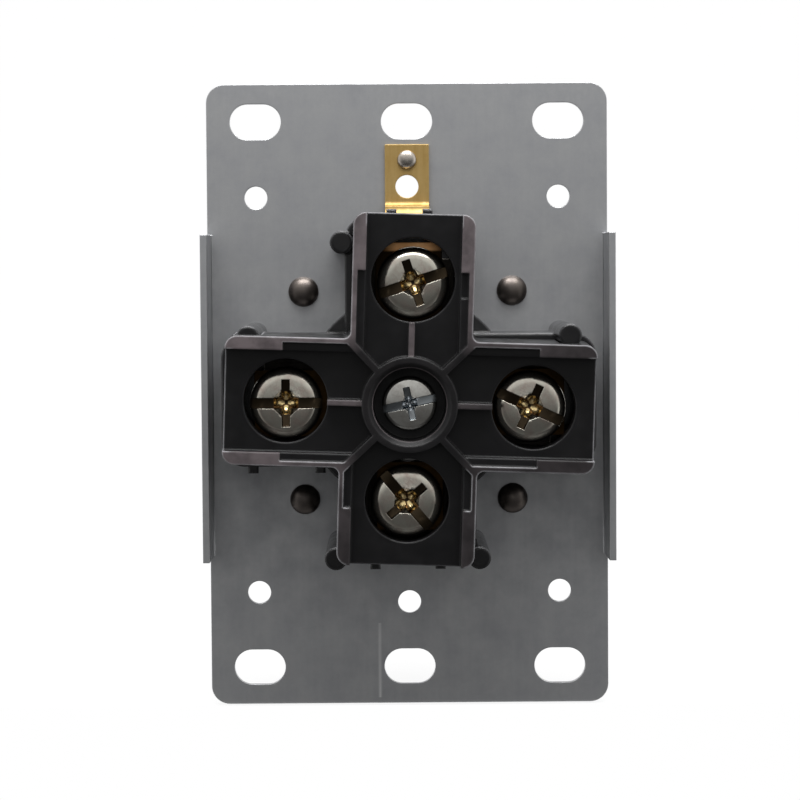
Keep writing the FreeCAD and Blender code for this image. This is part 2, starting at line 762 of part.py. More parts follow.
def make_cover():
    body = new_body("rear_cover")
    line = size("cover_line_reach")
    ground = size("cover_ground_reach")
    neutral = size("cover_neutral_reach")
    half = size("cover_line_width") / 2
    high = size("cover_ground_width") / 2
    low = size("cover_neutral_width") / 2
    sk = level(body, "cross", rim)
    outline(sk, cross(half, high, low, line, ground, neutral))
    pad(body, sk, size("cover_depth"), rear=False, taper=size("cover_draft"))
    split = (high.value + ground.value) / 2

    def outer_corner(edge):
        return along_depth(edge) and math.hypot(middle_of(edge).x, middle_of(edge).z) > split

    def inner_corner(edge):
        return along_depth(edge) and math.hypot(middle_of(edge).x, middle_of(edge).z) <= split

    fillet(body, edge_names(body, outer_corner), size("cover_corner"))
    fillet(body, edge_names(body, inner_corner), size("cover_inner_corner"))

    # Four compartments, open at the arm ends and parted by the diagonal barriers.
    land = size("wall_land")
    gap = size("barrier") / 2 * math.sqrt(2.0)
    past = size("cover_corner") * 2
    arms = (
        (half - land, line + past, 1, 0),
        (high - land, ground + past, 0, 1),
        (half - land, line + past, -1, 0),
        (low - land, neutral + past, 0, -1),
    )
    sk = level(body, "compartments", rim)
    for side, end, way_x, way_z in arms:
        shape = [(side, end), (-side, end), (-side, side + gap), (ZERO, gap), (side, side + gap)]
        spots = []
        for across, out in shape:
            if way_x:
                spots.append((out * way_x, across))
            else:
                spots.append((across, out * way_z))
        outline(sk, spots)
    pocket(body, sk, size("floor_drop"), rear=False)

    # Past the thick end of each wall its inner part steps down, as far as the barriers.
    sk = level(body, "steps", rim)
    ridge = size("wall_ridge")
    runs = (
        (half, line, 1, 0),
        (high, ground, 0, 1),
        (half, line, -1, 0),
        (low, neutral, 0, -1),
    )
    for wide, reach, way_x, way_z in runs:
        far = reach - size("land_length")
        inner = wide - land
        outer = wide - ridge
        for side in (-1, 1):
            shape = [(inner, far), (outer, far), (outer, outer + gap), (inner, inner + gap)]
            spots = []
            for across, out in shape:
                if way_x:
                    spots.append((out * way_x, across * side))
                else:
                    spots.append((across * side, out * way_z))
            outline(sk, spots)
    pocket(body, sk, size("land_step"), rear=False)

    # One wall of the ground arm is cut deeper where its step starts.
    sk = level(body, "notch", rim)
    far = ground - size("land_length")
    rectangle(sk, ridge - high, land - high, far - size("notch_length"), far)
    pocket(body, sk, size("notch_depth"), rear=False)

    # Centre ring, and the thin ribs from the ring to three of the wells.
    sk = level(body, "ring", rim)
    circle(sk, ZERO, ZERO, size("ring_radius"))
    pad(body, sk, size("floor_drop"), rear=False)
    sk = level(body, "ribs", rim - size("rib_drop"))
    rib = size("rib_width") / 2
    start = size("ring_radius") - size("rib_width")
    rib_line = size("line_terminal") - size("well_radius") + size("rib_width")
    rib_ground = size("ground_terminal") - size("well_radius") + size("rib_width")
    rectangle(sk, start, rib_line, -rib, rib)
    rectangle(sk, -rib_line, -start, -rib, rib)
    rectangle(sk, -rib, rib, start, rib_ground)
    pad(body, sk, size("floor_drop") - size("rib_drop"), rear=False)

    sk = level(body, "centre_well", rim)
    circle(sk, ZERO, ZERO, size("ring_bore"))
    pocket(body, sk, size("ring_well"), rear=False)
    bore = size("ring_bore").value
    mouth = edge_names(body, lambda edge: ring_at(edge, rim.value, bore))
    bevel(body, mouth, size("ring_bevel"))

    # The hollow under each compartment, where the terminal plate, clamp and wire lie.
    wall = size("cover_wall")
    inner_line = line_mid - leaf_out - size("hollow_play")
    inner_ground = riser_front - size("hollow_play")
    inner_neutral = neutral_near - size("hollow_play")
    sk = level(body, "hollows", carrier_rear)
    rectangle(sk, inner_line, line - wall, -half + wall, half - wall)
    rectangle(sk, wall - line, -inner_line, -half + wall, half - wall)
    rectangle(sk, wall - high, high - wall, inner_ground, ground - wall)
    rectangle(sk, wall - high, high - wall, wall - neutral, -inner_neutral)
    pocket(body, sk, plate_rear - carrier_rear)

    sk = level(body, "wells", rim)
    circle(sk, size("line_terminal"), ZERO, size("well_radius"))
    circle(sk, -size("line_terminal"), ZERO, size("well_radius"))
    circle(sk, ZERO, size("ground_terminal"), size("well_radius"))
    circle(sk, ZERO, -size("neutral_terminal"), size("well_radius"))
    pocket(body, sk, rim - plate_front, rear=False)

    sk = level(body, "gates", carrier_rear + size("wire_sill"))
    gate = size("wire_gate") / 2
    rectangle(sk, line - wall - gap, line + past, -gate, gate)
    rectangle(sk, -line - past, wall + gap - line, -gate, gate)
    rectangle(sk, -gate, gate, ground - wall - gap, ground + past)
    rectangle(sk, -gate, gate, -neutral - past, wall + gap - neutral)
    pocket(body, sk, size("wire_height"))

    # Scallops take the locating posts and stop short of the rim.
    sk = level(body, "scallops", carrier_rear)
    for x, z in POST_SPOTS:
        own_x, own_z = unturned(x, z)
        circle(sk, own_x, own_z, size("post_radius") + size("post_play"))
    pocket(body, sk, post_top + size("post_play") - carrier_rear)
    sk = level(body, "bore", rim)
    circle(sk, ZERO, ZERO, size("centre_shank") / 2 + size("bore_play"))
    pocket(body, sk, size("cover_depth"), rear=False)
    place(body, ZERO, ZERO, ZERO, twist)


def jaw_profile(sk, middle, mirror):
    """Two leaves joined at the rear, open to the front, about the blade's middle."""
    spots = [
        (-leaf_out, jaw_front), (-leaf_in, jaw_front),
        (-leaf_in, jaw_rear - size("contact_sheet")), (leaf_in, jaw_rear - size("contact_sheet")),
        (leaf_in, jaw_front), (leaf_out, jaw_front), (leaf_out, jaw_rear), (-leaf_out, jaw_rear),
    ]
    outline(sk, [((x + middle) * mirror, y) for x, y in spots])


def plate_hole(body, name, terminal):
    """The clear hole for the terminal screw."""
    sk = level(body, name, plate_rear)
    x, z = TERMINALS[terminal]
    circle(sk, x, z, size("screw_shank") / 2 + size("bore_play"))
    pocket(body, sk, size("contact_sheet"), rear=False)


def mouth_edges(body, along):
    """Inner front edges of the jaws, which run along the blade's width."""
    gap = leaf_in.value

    def wanted(edge):
        spot = middle_of(edge)
        flat = abs(spot.y - jaw_front.value) < 1e-4 and edge.BoundBox.YLength < 1e-4
        inner = abs(abs(spot.x - along) - gap) < 1e-4 and edge.BoundBox.XLength < 1e-4
        return flat and inner

    return edge_names(body, wanted)


def make_line_contact(name, mirror):
    body = new_body(name + "_contact")
    sk = new_sketch(body, "jaws", "XY_Plane")
    jaw_profile(sk, line_mid, mirror)
    pad(body, sk, size("jaw_width"), both=True)
    bevel(body, mouth_edges(body, line_mid.value * mirror), size("jaw_flare"))
    sk = new_sketch(body, "plate", "XY_Plane")
    inner = line_mid - leaf_out
    outer = line_mid - leaf_in
    end = size("line_terminal") + size("plate_past")
    spots = [
        (inner, jaw_rear - size("contact_sheet")), (outer, jaw_rear - size("contact_sheet")),
        (outer, plate_front), (end, plate_front), (end, plate_rear), (inner, plate_rear),
    ]
    outline(sk, [(x * mirror, y) for x, y in spots])
    pad(body, sk, size("plate_width"), both=True)
    plate_hole(body, "screw", name)


def make_ground_contact():
    body = new_body("ground_contact")
    sk = level(body, "socket", jaw_front)
    circle(sk, ZERO, ground_rise, pin_outer)
    circle(sk, ZERO, ground_rise, size("pin_bore"))
    pad(body, sk, size("jaw_depth"))
    sk = level(body, "slit", jaw_front)
    slit = size("pin_slit") / 2
    rectangle(sk, size("pin_bore") - size("pin_wall"), pin_outer * 1.1, ground_rise - slit, ground_rise + slit)
    pocket(body, sk, size("jaw_depth"))
    sk = new_sketch(body, "plate", "YZ_Plane")
    end = size("ground_terminal") - loose + size("ground_past")
    low = jaw_rear - size("riser_depth")
    spots = [
        (low, riser_front), (plate_rear, riser_front), (plate_rear, end),
        (plate_front, end), (plate_front, riser_rear), (low, riser_rear),
    ]
    outline(sk, spots)
    pad(body, sk, size("plate_width"), both=True)
    plate_hole(body, "screw", "ground")


def make_neutral_contact():
    body = new_body("neutral_contact")
    sk = new_sketch(body, "jaws", "XY_Plane", -(neutral_near + size("neutral_jaw") / 2))
    jaw_profile(sk, ZERO, 1)
    pad(body, sk, size("neutral_jaw"), both=True)
    bevel(body, mouth_edges(body, 0.0), size("jaw_flare"))
    sk = new_sketch(body, "plate", "YZ_Plane")
    end = size("neutral_terminal") + size("plate_past")
    far = neutral_near + size("contact_sheet")
    low = jaw_rear - size("contact_sheet")
    spots = [
        (low, -neutral_near), (low, -far), (plate_front, -far),
        (plate_front, -end), (plate_rear, -end), (plate_rear, -neutral_near),
    ]
    outline(sk, spots)
    pad(body, sk, size("plate_width"), both=True)
    plate_hole(body, "screw", "neutral")


def make_loop_spring(label, x0, x1, z0, z1, slit_x, slit_z):
    """A sheet clip bent round the two leaves of a contact, open on one side."""
    body = new_body(label)
    thick = size("spring_sheet")
    front = jaw_front + size("spring_start")
    sk = level(body, "loop", front)
    rectangle(sk, x0 - thick, x1 + thick, z0 - thick, z1 + thick)
    rectangle(sk, x0, x1, z0, z1)
    pad(body, sk, size("spring_width"))
    sk = level(body, "slit", front)
    slit = size("spring_slit") / 2
    rectangle(sk, slit_x - slit, slit_x + slit, slit_z - slit, slit_z + slit)
    pocket(body, sk, size("spring_width"))


def make_ground_spring():
    body = new_body("ground_spring")
    front = size("strip_level") + size("strip_sheet") + size("strip_play") * 2
    sk = level(body, "loop", front)
    circle(sk, ZERO, ground_rise, pin_outer + size("spring_sheet"))
    circle(sk, ZERO, ground_rise, pin_outer)
    pad(body, sk, size("spring_width"))
    sk = level(body, "slit", front)
    slit = size("spring_slit") / 2
    near_x = -pin_outer - size("spring_sheet") * 2
    rectangle(sk, near_x, -size("pin_bore"), ground_rise - slit, ground_rise + slit)
    pocket(body, sk, size("spring_width"))


def screw_blank(body, length, shank, head, top, crown, crown_drop, shoulder_drop):
    """A pan-headed screw on its own axis, seated at the underside of its head."""
    sk = new_sketch(body, "profile", "XY_Plane")
    tip = size("screw_tip")
    edge = top - crown_drop
    spots = [
        (ZERO, -length), (shank - tip, -length), (shank, tip - length), (shank, ZERO),
        (head, ZERO), (head, edge - shoulder_drop), (crown, edge), (ZERO, top),
    ]
    outline(sk, spots)
    revolve(body, sk)


def drive_slot(body, top, head, width, depth):
    """The straight slot right across a screw head."""
    sk = level(body, "slot", top)
    past = head + width
    rectangle(sk, -past, past, -width / 2, width / 2)
    pocket(body, sk, depth, rear=False)


def drive_cross(body, top, width, span, depth):
    """The short arms of a cross recess, square to the slot."""
    sk = level(body, "cross", top)
    rectangle(sk, -width / 2, width / 2, -span / 2, span / 2)
    pocket(body, sk, depth, rear=False)


def drive_core(body, name, top, corners, depth):
    """A four-sided opening in the middle of a cross recess, corners along its arms."""
    sk = level(body, name, top)
    half = corners / 2
    outline(sk, [(half, ZERO), (ZERO, half), (-half, ZERO), (ZERO, -half)])
    pocket(body, sk, depth, rear=False)


def make_terminal_screw(name):
    body = new_body(name + "_screw")
    head = size("screw_head") / 2
    top = size("screw_height")
    screw_blank(
        body, screw_seat - clamp_front, size("screw_shank") / 2, head, top,
        size("screw_crown"), size("crown_drop"), size("shoulder_drop"),
    )
    drive_slot(body, top, head, size("screw_slot"), size("screw_slot_depth"))
    drive_cross(body, top, size("cross_width"), size("cross_span"), size("cross_depth"))
    drive_core(body, "mouth", top, size("cross_mouth"), size("mouth_depth"))
    drive_core(body, "core", top, size("cross_core"), size("core_depth"))
    x, z = TERMINALS[name]
    place(body, x, screw_seat, z, -size(name + "_turn"))


def make_clamp(name, upright):
    body = new_body(name + "_clamp")
    wide = size("clamp_width") / 2
    long = size("clamp_length") / 2
    if upright:
        reach_x, reach_z = wide, long
    else:
        reach_x, reach_z = long, wide
    sk = level(body, "plate", ZERO)
    rectangle(sk, -reach_x, reach_x, -reach_z, reach_z)
    pad(body, sk, size("clamp_sheet"))
    # Two wire grooves beside the screw, along the arm.
    sk = level(body, "grooves", size("clamp_sheet"))
    near_side = size("screw_shank") / 2 + size("clamp_groove")
    far_side = wide - size("clamp_groove")
    for side in (-1, 1):
        a = near_side * side
        b = far_side * side
        if upright:
            outline(sk, [(a, -long * 1.2), (b, -long * 1.2), (b, long * 1.2), (a, long * 1.2)])
        else:
            outline(sk, [(-long * 1.2, a), (long * 1.2, a), (long * 1.2, b), (-long * 1.2, b)])
    pocket(body, sk, size("clamp_groove"), rear=False)
    sk = level(body, "thread", ZERO)
    circle(sk, ZERO, ZERO, size("screw_shank") / 2 + size("thread_play"))
    pocket(body, sk, None, through=True)
    x, z = TERMINALS[name]
    place(body, x, clamp_front, z, twist)


def make_assembly_screw():
    body = new_body("assembly_screw")
    head = size("centre_head") / 2
    top = size("centre_height")
    screw_blank(
        body, centre_seat - strap_front + size("centre_length"), size("centre_shank") / 2, head, top,
        size("centre_crown"), size("centre_crown_drop"), size("centre_shoulder"),
    )
    drive_slot(body, top, head, size("centre_slot"), size("centre_slot_depth"))
    drive_cross(
        body, top, size("centre_cross_width"), size("centre_cross_span"), size("centre_cross_depth")
    )
    drive_core(body, "core", top, size("centre_core"), size("centre_cross_depth"))
    place(body, ZERO, centre_seat, ZERO, -size("assembly_turn"))


def make_rivets():
    body = new_body("strap_rivets")
    pitch = size("rivet_pitch") / 2
    head = size("rivet_head") / 2
    seat = face_front + size("face_sink")

    def four(sk, radius):
        for side in (-1, 1):
            for up in (-1, 1):
                circle(sk, pitch * side, pitch * up, radius)

    sk = level(body, "shanks", seat)
    four(sk, size("rivet_shank") / 2)
    pad(body, sk, -seat)
    sk = level(body, "domes", ZERO)
    four(sk, head)
    pad(body, sk, size("rivet_dome"))
    sk = level(body, "feet", seat)
    four(sk, head)
    pad(body, sk, size("face_sink") / 2, rear=False)
    crown = edge_names(body, lambda edge: ring_at(edge, size("rivet_dome").value, head.value))
    bevel(body, crown, size("rivet_bevel"))


def make_strip():
    body = new_body("bonding_strip")
    thick = size("strip_sheet")
    bend = size("strip_bend")
    far = bend + thick
    inner = size("carrier_ground_reach") + size("strip_gap") + bend
    outer = inner + thick
    top = strip_top
    low = size("strip_level")
    end = ground_rise + pin_outer
    sk = new_sketch(body, "profile", "YZ_Plane")
    spots = [
        (ZERO, top), (ZERO, outer + bend), (far, inner), (low - bend, inner),
        (low, inner - bend), (low, end), (low + thick, end), (low + thick, inner - bend),
        (low - bend, outer), (far, outer), (thick, outer + bend), (thick, top),
    ]
    outline(sk, spots, {1: (far, -1), 3: (bend, -1), 7: (far, 1), 9: (bend, 1)})
    pad(body, sk, size("strip_width"), both=True)
    sk = level(body, "holes", ZERO)
    circle(sk, ZERO, centre_row, size("plate_hole") / 2)
    circle(sk, ZERO, bond_rise, size("bond_shank") / 2 + size("rivet_play"))
    pocket(body, sk, thick)


def make_bond_rivet():
    body = new_body("bonding_rivet")
    head = size("bond_head") / 2
    sk = level(body, "shank", strap_front)
    circle(sk, ZERO, bond_rise, size("bond_shank") / 2)
    pad(body, sk, size("strap_sheet") + size("strip_sheet"))
    sk = level(body, "head", size("strip_sheet"))
    circle(sk, ZERO, bond_rise, head)
    pad(body, sk, size("bond_dome"))
    crown_y = (size("strip_sheet") + size("bond_dome")).value
    crown = edge_names(body, lambda edge: ring_at(edge, crown_y, head.value))
    bevel(body, crown, size("bond_bevel"))


make_strap()
make_face()
make_insert()
make_carrier()
make_cover()
make_line_contact("line_x", 1)
make_line_contact("line_y", -1)
make_ground_contact()
make_neutral_contact()
jaw_half = size("jaw_width") / 2
spring_slit_x = line_mid - leaf_out
make_loop_spring(
    "line_x_spring", line_mid - leaf_out, line_mid + leaf_out, -jaw_half, jaw_half, spring_slit_x, ZERO
)
make_loop_spring(
    "line_y_spring", -line_mid - leaf_out, leaf_out - line_mid, -jaw_half, jaw_half, -spring_slit_x, ZERO
)
make_loop_spring("neutral_spring", -leaf_out, leaf_out, -neutral_far, -neutral_near, ZERO, -neutral_near)
make_ground_spring()
for terminal_name in ("ground", "neutral", "line_x", "line_y"):
    make_terminal_screw(terminal_name)
    make_clamp(terminal_name, terminal_name in ("ground", "neutral"))
make_assembly_screw()
make_rivets()
make_strip()
make_bond_rivet()

# Every object is sound before any file is written.
doc.recompute()
for item in doc.Objects:
    if "Invalid" in item.State or "Error" in item.State:
        raise RuntimeError("%s is %s" % (item.Name, item.State))
for piece in PIECES:
    if piece.Shape.isNull() or not piece.Shape.isValid() or not piece.Shape.Solids:
        raise RuntimeError("%s has no sound shape" % piece.Label)

os.makedirs("parts", exist_ok=True)
for piece in PIECES:
    piece.Shape.exportStep(os.path.join("parts", piece.Label + ".step"))
    print(piece.Label, len(piece.Shape.Solids), round(piece.Shape.Volume, 2))
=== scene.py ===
"""Looks of a flush-mount four-wire dryer outlet, dressed over its packed construction model.

Lengths in this file are millimetres unless a name says otherwise, and meshes are in metres.
"""

import logging
import math
from dataclasses import dataclass, field
from enum import Enum
from typing import Any, Dict, List, Optional, Sequence, Tuple

import bmesh
import bpy
from mathutils import Matrix, Vector


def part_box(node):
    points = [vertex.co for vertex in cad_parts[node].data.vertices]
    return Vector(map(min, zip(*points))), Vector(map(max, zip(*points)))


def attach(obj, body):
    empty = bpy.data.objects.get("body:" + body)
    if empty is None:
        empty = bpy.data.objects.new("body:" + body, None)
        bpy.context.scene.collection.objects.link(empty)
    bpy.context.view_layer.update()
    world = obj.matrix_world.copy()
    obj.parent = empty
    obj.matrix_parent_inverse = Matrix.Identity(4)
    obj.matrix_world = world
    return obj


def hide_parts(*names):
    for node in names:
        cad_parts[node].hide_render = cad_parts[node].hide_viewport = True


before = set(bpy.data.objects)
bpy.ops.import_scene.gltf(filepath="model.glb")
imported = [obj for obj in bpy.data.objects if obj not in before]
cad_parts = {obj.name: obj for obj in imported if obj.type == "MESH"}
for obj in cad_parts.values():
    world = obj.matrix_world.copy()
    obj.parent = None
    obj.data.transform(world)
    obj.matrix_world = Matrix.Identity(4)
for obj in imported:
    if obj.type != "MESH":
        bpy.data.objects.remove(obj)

LOG = logging.getLogger("outlet")
MM = 0.001
WHITE = (1.0, 1.0, 1.0, 1.0)
SHARP_ANGLE = math.radians(40)
DRIVE_MARGIN = 0.1
Colour = Tuple[float, float, float, float]
Point = Tuple[float, float, float]
Outline = List[Tuple[float, float]]


def linear(code: str) -> Colour:
    """Turn an sRGB hex colour into linear light.

    Args:
        code: The colour as "#rrggbb".

    Returns:
        Red, green, blue and an alpha of one.
    """
    parts = [int(code[i:i + 2], 16) / 255.0 for i in (1, 3, 5)]
    red, green, blue = (p / 12.92 if p <= 0.04045 else ((p + 0.055) / 1.055) ** 2.4 for p in parts)
    return red, green, blue, 1.0


def add_node(
    tree: bpy.types.NodeTree, kind: str, inputs: Optional[Dict[Any, Any]] = None, **settings: Any
) -> bpy.types.Node:
    """Add one node to a tree.

    Args:
        tree: The tree that gets the node.
        kind: The node's type name.
        inputs: A value, or a socket to link from, for each input named or numbered.
        settings: The node's own settings.

    Returns:
        The new node.
    """
    node = tree.nodes.new(kind)
    for name, value in settings.items():
        setattr(node, name, value)
    for key, value in (inputs or {}).items():
        if isinstance(value, bpy.types.NodeSocket):
            tree.links.new(value, node.inputs[key])
        else:
            node.inputs[key].default_value = value
    return node


class Body(Enum):
    """The bodies that pieces ride on."""

    OUTLET = "outlet"
    GROUND_SCREW = "ground_screw"
    NEUTRAL_SCREW = "neutral_screw"
    LINE_X_SCREW = "line_x_screw"
    LINE_Y_SCREW = "line_y_screw"


class Drive(Enum):
    """Parts of a screw's drive, by the value of its faces' "drive" attribute."""

    PLAIN = 0.0
    SLOT = 0.5
    PIT = 0.75
    PETAL = 1.0


class Nodes:
    """A node tree under way."""

    tree: bpy.types.NodeTree

    def add(self, kind: str, inputs: Optional[Dict[Any, Any]] = None, **settings: Any) -> bpy.types.Node:
        """Add one node to this tree."""
        return add_node(self.tree, kind, inputs, **settings)


class Surface(Nodes):
    """One material under way: its tree, its shader, and coordinates in millimetres."""

    def __init__(self, name: str) -> None:
        """Start an empty material with a surface shader and an output.

        Args:
            name: The material's name.
        """
        self.material = bpy.data.materials.new(name)
        self.material.use_nodes = True
        self.tree = self.material.node_tree
        self.tree.nodes.clear()
        self.shader = self.add("ShaderNodeBsdfPrincipled")
        self.add("ShaderNodeOutputMaterial", {"Surface": self.shader.outputs[0]})
        place = self.add("ShaderNodeTexCoord")
        scaled = self.add(
            "ShaderNodeVectorMath", {0: place.outputs["Object"], 1: (1.0 / MM,) * 3}, operation="MULTIPLY"
        )
        self.mm = scaled.outputs[0]

    def link(self, socket: bpy.types.NodeSocket, name: str) -> None:
        """Feed one of the shader's inputs from a node."""
        self.tree.links.new(socket, self.shader.inputs[name])

    def rounded(self, radius: float) -> Tuple[bpy.types.NodeSocket, bpy.types.NodeSocket]:
        """Round the look of sharp edges.

        Args:
            radius: The edge's radius.

        Returns:
            The rounded normal, and a mask that is one on an edge and nought on a flat.
        """
        soft = self.add("ShaderNodeBevel", {"Radius": radius * MM}, samples=6)
        flat = self.add("ShaderNodeNewGeometry")
        match = self.add(
            "ShaderNodeVectorMath", {0: soft.outputs[0], 1: flat.outputs["Normal"]}, operation="DOT_PRODUCT"
        )
        mask = self.add(
            "ShaderNodeMapRange",
            {"Value": match.outputs["Value"], "From Min": 0.995, "From Max": 0.80},
        )
        return soft.outputs[0], mask.outputs[0]

    def finish(self, metallic: float, normal: bpy.types.NodeSocket) -> bpy.types.Material:
        """Set the constant inputs and the normal, and hand over the material.

        Args:
            metallic: One for a metal and nought for a plastic.
            normal: The surface's normal, with its grain.

        Returns:
            The finished material.
        """
        self.shader.inputs["Metallic"].default_value = metallic
        self.link(normal, "Normal")
        return self.material


@dataclass(frozen=True)
class MouldedThermoset:
    """Glass-filled thermoset, pressed in a polished mould: deep black, paler on the high lands, with painted
    highlights along its edges.
    """

    name: str
    core: str = "#040405"
    bloom: str = "#0a090b"
    # edge is the colour of the painted highlight on the edges; edge_share sets it inside the arms and the rim
    # share along their outsides.
    paler_land: str = "#6f6668"
    edge: str = "#c9c9cd"
    rough_low: float = 0.30
    rough_high: float = 0.46
    land_low: float = 29.5
    land_high: float = 29.9
    rib_level: float = 29.4
    land_share: float = 0.7
    edge_share: float = 0.02
    rim_highlight_share: float = 0.62
    highlight_width: float = 0.26
    side_from: float = 8.1
    end_from: float = 25.0
    twist: float = 2.0
    neutral_short: float = 2.2
    low_light: float = 0.65
    paling_way: Point = (0.6, 0.0, 0.8)
    paling_low: float = -12.0
    paling_high: float = 14.0
    pale_from_radius: float = 10.2
    pale_full_radius: float = 13.4
    grain: float = 0.25
    cloud: float = 2.6
    edge_radius: float = 0.4
    sheen: float = 0.27
    ior: float = 1.54

    def build(self) -> bpy.types.Material:
        """Make the material.

        Returns:
            A near-black gloss with cloudy bloom, paler on the high lands, with painted highlights on its
            upper and outer edges.
        """
        made = Surface(self.name)
        normal, _edge = made.rounded(self.edge_radius)
        cloud = made.add(
            "ShaderNodeTexNoise",
            {"Vector": made.mm, "Scale": 1.0 / self.cloud, "Detail": 4.0, "Roughness": 0.6},
        )
        grain = made.add(
            "ShaderNodeTexNoise", {"Vector": made.mm, "Scale": 1.0 / self.grain, "Detail": 2.0}
        )
        base = made.add(
            "ShaderNodeMix", {0: cloud.outputs[0], 6: linear(self.core), 7: linear(self.bloom)},
            data_type="RGBA",
        )
        height = made.add("ShaderNodeSeparateXYZ", {0: made.mm})
        level = made.add(
            "ShaderNodeMapRange",
            {"Value": height.outputs["Y"], "From Min": self.land_low, "From Max": self.land_high},
            interpolation_type="SMOOTHSTEP",
        )
        worn = made.add(
            "ShaderNodeMapRange",
            {"Value": cloud.outputs[0], "From Min": 0.3, "From Max": 0.6, "To Min": 0.55, "To Max": 1.0},
        )
        # Paler high lands and ribs, paler still towards the upper left and fading out near the middle.
        side = made.add("ShaderNodeVectorMath", {0: made.mm, 1: self.paling_way}, operation="DOT_PRODUCT")
        paling = made.add(
            "ShaderNodeMapRange",
            {"Value": side.outputs["Value"], "From Min": self.paling_low, "From Max": self.paling_high,
             "To Min": 0.13, "To Max": self.land_share},
            interpolation_type="SMOOTHSTEP",
        )
        across = made.add("ShaderNodeVectorMath", {0: made.mm, 1: (1.0, 0.0, 1.0)}, operation="MULTIPLY")
        radius = made.add("ShaderNodeVectorMath", {0: across.outputs[0]}, operation="LENGTH")
        outer = made.add(
            "ShaderNodeMapRange",
            {"Value": radius.outputs["Value"], "From Min": self.pale_from_radius, "From Max": self.pale_full_radius,
             "To Min": 0.05, "To Max": 1.0},
        )
        land = made.add("ShaderNodeMath", {0: level.outputs[0], 1: outer.outputs[0]}, operation="MULTIPLY")
        rib = made.add(
            "ShaderNodeMath", {0: height.outputs["Y"], 1: self.rib_level, 2: 0.07}, operation="COMPARE"
        )
        high = made.add("ShaderNodeMath", {0: land.outputs[0], 1: rib.outputs[0]}, operation="MAXIMUM")
        lain = made.add("ShaderNodeMath", {0: high.outputs[0], 1: worn.outputs[0]}, operation="MULTIPLY")
        share = made.add("ShaderNodeMath", {0: lain.outputs[0], 1: paling.outputs[0]}, operation="MULTIPLY")
        paler_land = made.add(
            "ShaderNodeMix", {0: share.outputs[0], 6: base.outputs[2], 7: linear(self.paler_land)},
            data_type="RGBA",
        )
        # Painted highlight: pale lines on the edges that stand out, stronger on upward edges and along the
        # outside of the arms.
        edges = made.add(
            "ShaderNodeMath", {0: self.ridge(made, normal), 1: self.rim(made)}, operation="MULTIPLY"
        )
        line = made.add("ShaderNodeMath", {0: edges.outputs[0], 1: worn.outputs[0]}, operation="MULTIPLY")
        colour = made.add(
            "ShaderNodeMix", {0: line.outputs[0], 6: paler_land.outputs[2], 7: linear(self.edge)},
            data_type="RGBA",
        )
        rough = made.add(
            "ShaderNodeMapRange",
            {"Value": cloud.outputs[0], "From Min": 0.3, "From Max": 0.7,
             "To Min": self.rough_low, "To Max": self.rough_high},
        )
        bump = made.add(
            "ShaderNodeBump",
            {"Height": grain.outputs[0], "Normal": normal, "Strength": 0.12, "Distance": 0.02 * MM},
        )
        made.link(colour.outputs[2], "Base Color")
        made.link(rough.outputs[0], "Roughness")
        made.shader.inputs["IOR"].default_value = self.ior
        made.shader.inputs["Specular IOR Level"].default_value = self.sheen
        return made.finish(0.0, bump.outputs[0])

    def ridge(self, made: Surface, normal: bpy.types.NodeSocket) -> bpy.types.NodeSocket:
        """Mask of the painted highlight on edges that stand out, weaker on those that look down, as light
        falls from above.

        Args:
            made: The material under way.
            normal: The rounded normal.

        Returns:
            One on an upper edge and nought on a flat or in a corner.
        """
        inside = made.add(
            "ShaderNodeAmbientOcclusion", {"Distance": self.highlight_width * MM},
            inside=True, only_local=True, samples=8,
        )
        mask = made.add(
            "ShaderNodeMapRange", {"Value": inside.outputs["AO"], "From Min": 0.98, "From Max": 0.6}
        )
        way = made.add("ShaderNodeSeparateXYZ", {0: normal})
        lit = made.add(
            "ShaderNodeMapRange",
            {"Value": way.outputs["Z"], "From Min": -0.1, "From Max": 0.45,
             "To Min": self.low_light, "To Max": 1.0},
        )
        lined = made.add("ShaderNodeMath", {0: mask.outputs[0], 1: lit.outputs[0]}, operation="MULTIPLY")
        return lined.outputs[0]

    def rim(self, made: Surface) -> bpy.types.NodeSocket:
        """Strength of the painted highlight line on the edges, by how near a point is to the outside of the
        four arms.

        Args:
            made: The material under way.

        Returns:
            The share of the painted highlight colour.
        """
        straight = made.add(
            "ShaderNodeVectorRotate", {"Vector": made.mm, "Angle": math.radians(self.twist)},
            rotation_type="Y_AXIS",
        )
        place = made.add("ShaderNodeSeparateXYZ", {0: straight.outputs[0]})
        x = made.add("ShaderNodeMath", {0: place.outputs["X"]}, operation="ABSOLUTE").outputs[0]
        z = made.add("ShaderNodeMath", {0: place.outputs["Z"]}, operation="ABSOLUTE").outputs[0]
        near = made.add("ShaderNodeMath", {0: x, 1: z}, operation="MINIMUM")
        side = made.add(
            "ShaderNodeMapRange",
            {"Value": near.outputs[0], "From Min": self.side_from, "From Max": self.side_from + 0.4},
        )
        low = made.add("ShaderNodeMath", {0: self.neutral_short, 1: place.outputs["Z"]}, operation="SUBTRACT")
        high = made.add("ShaderNodeMath", {0: place.outputs["Z"], 1: low.outputs[0]}, operation="MAXIMUM")
        far = made.add("ShaderNodeMath", {0: x, 1: high.outputs[0]}, operation="MAXIMUM")
        end = made.add(
            "ShaderNodeMapRange",
            {"Value": far.outputs[0], "From Min": self.end_from, "From Max": self.end_from + 0.6},
        )
        outside = made.add("ShaderNodeMath", {0: side.outputs[0], 1: end.outputs[0]}, operation="MAXIMUM")
        share = made.add(
            "ShaderNodeMapRange",
            {"Value": outside.outputs[0], "To Min": self.edge_share, "To Max": self.rim_highlight_share},
        )
        return share.outputs[0]


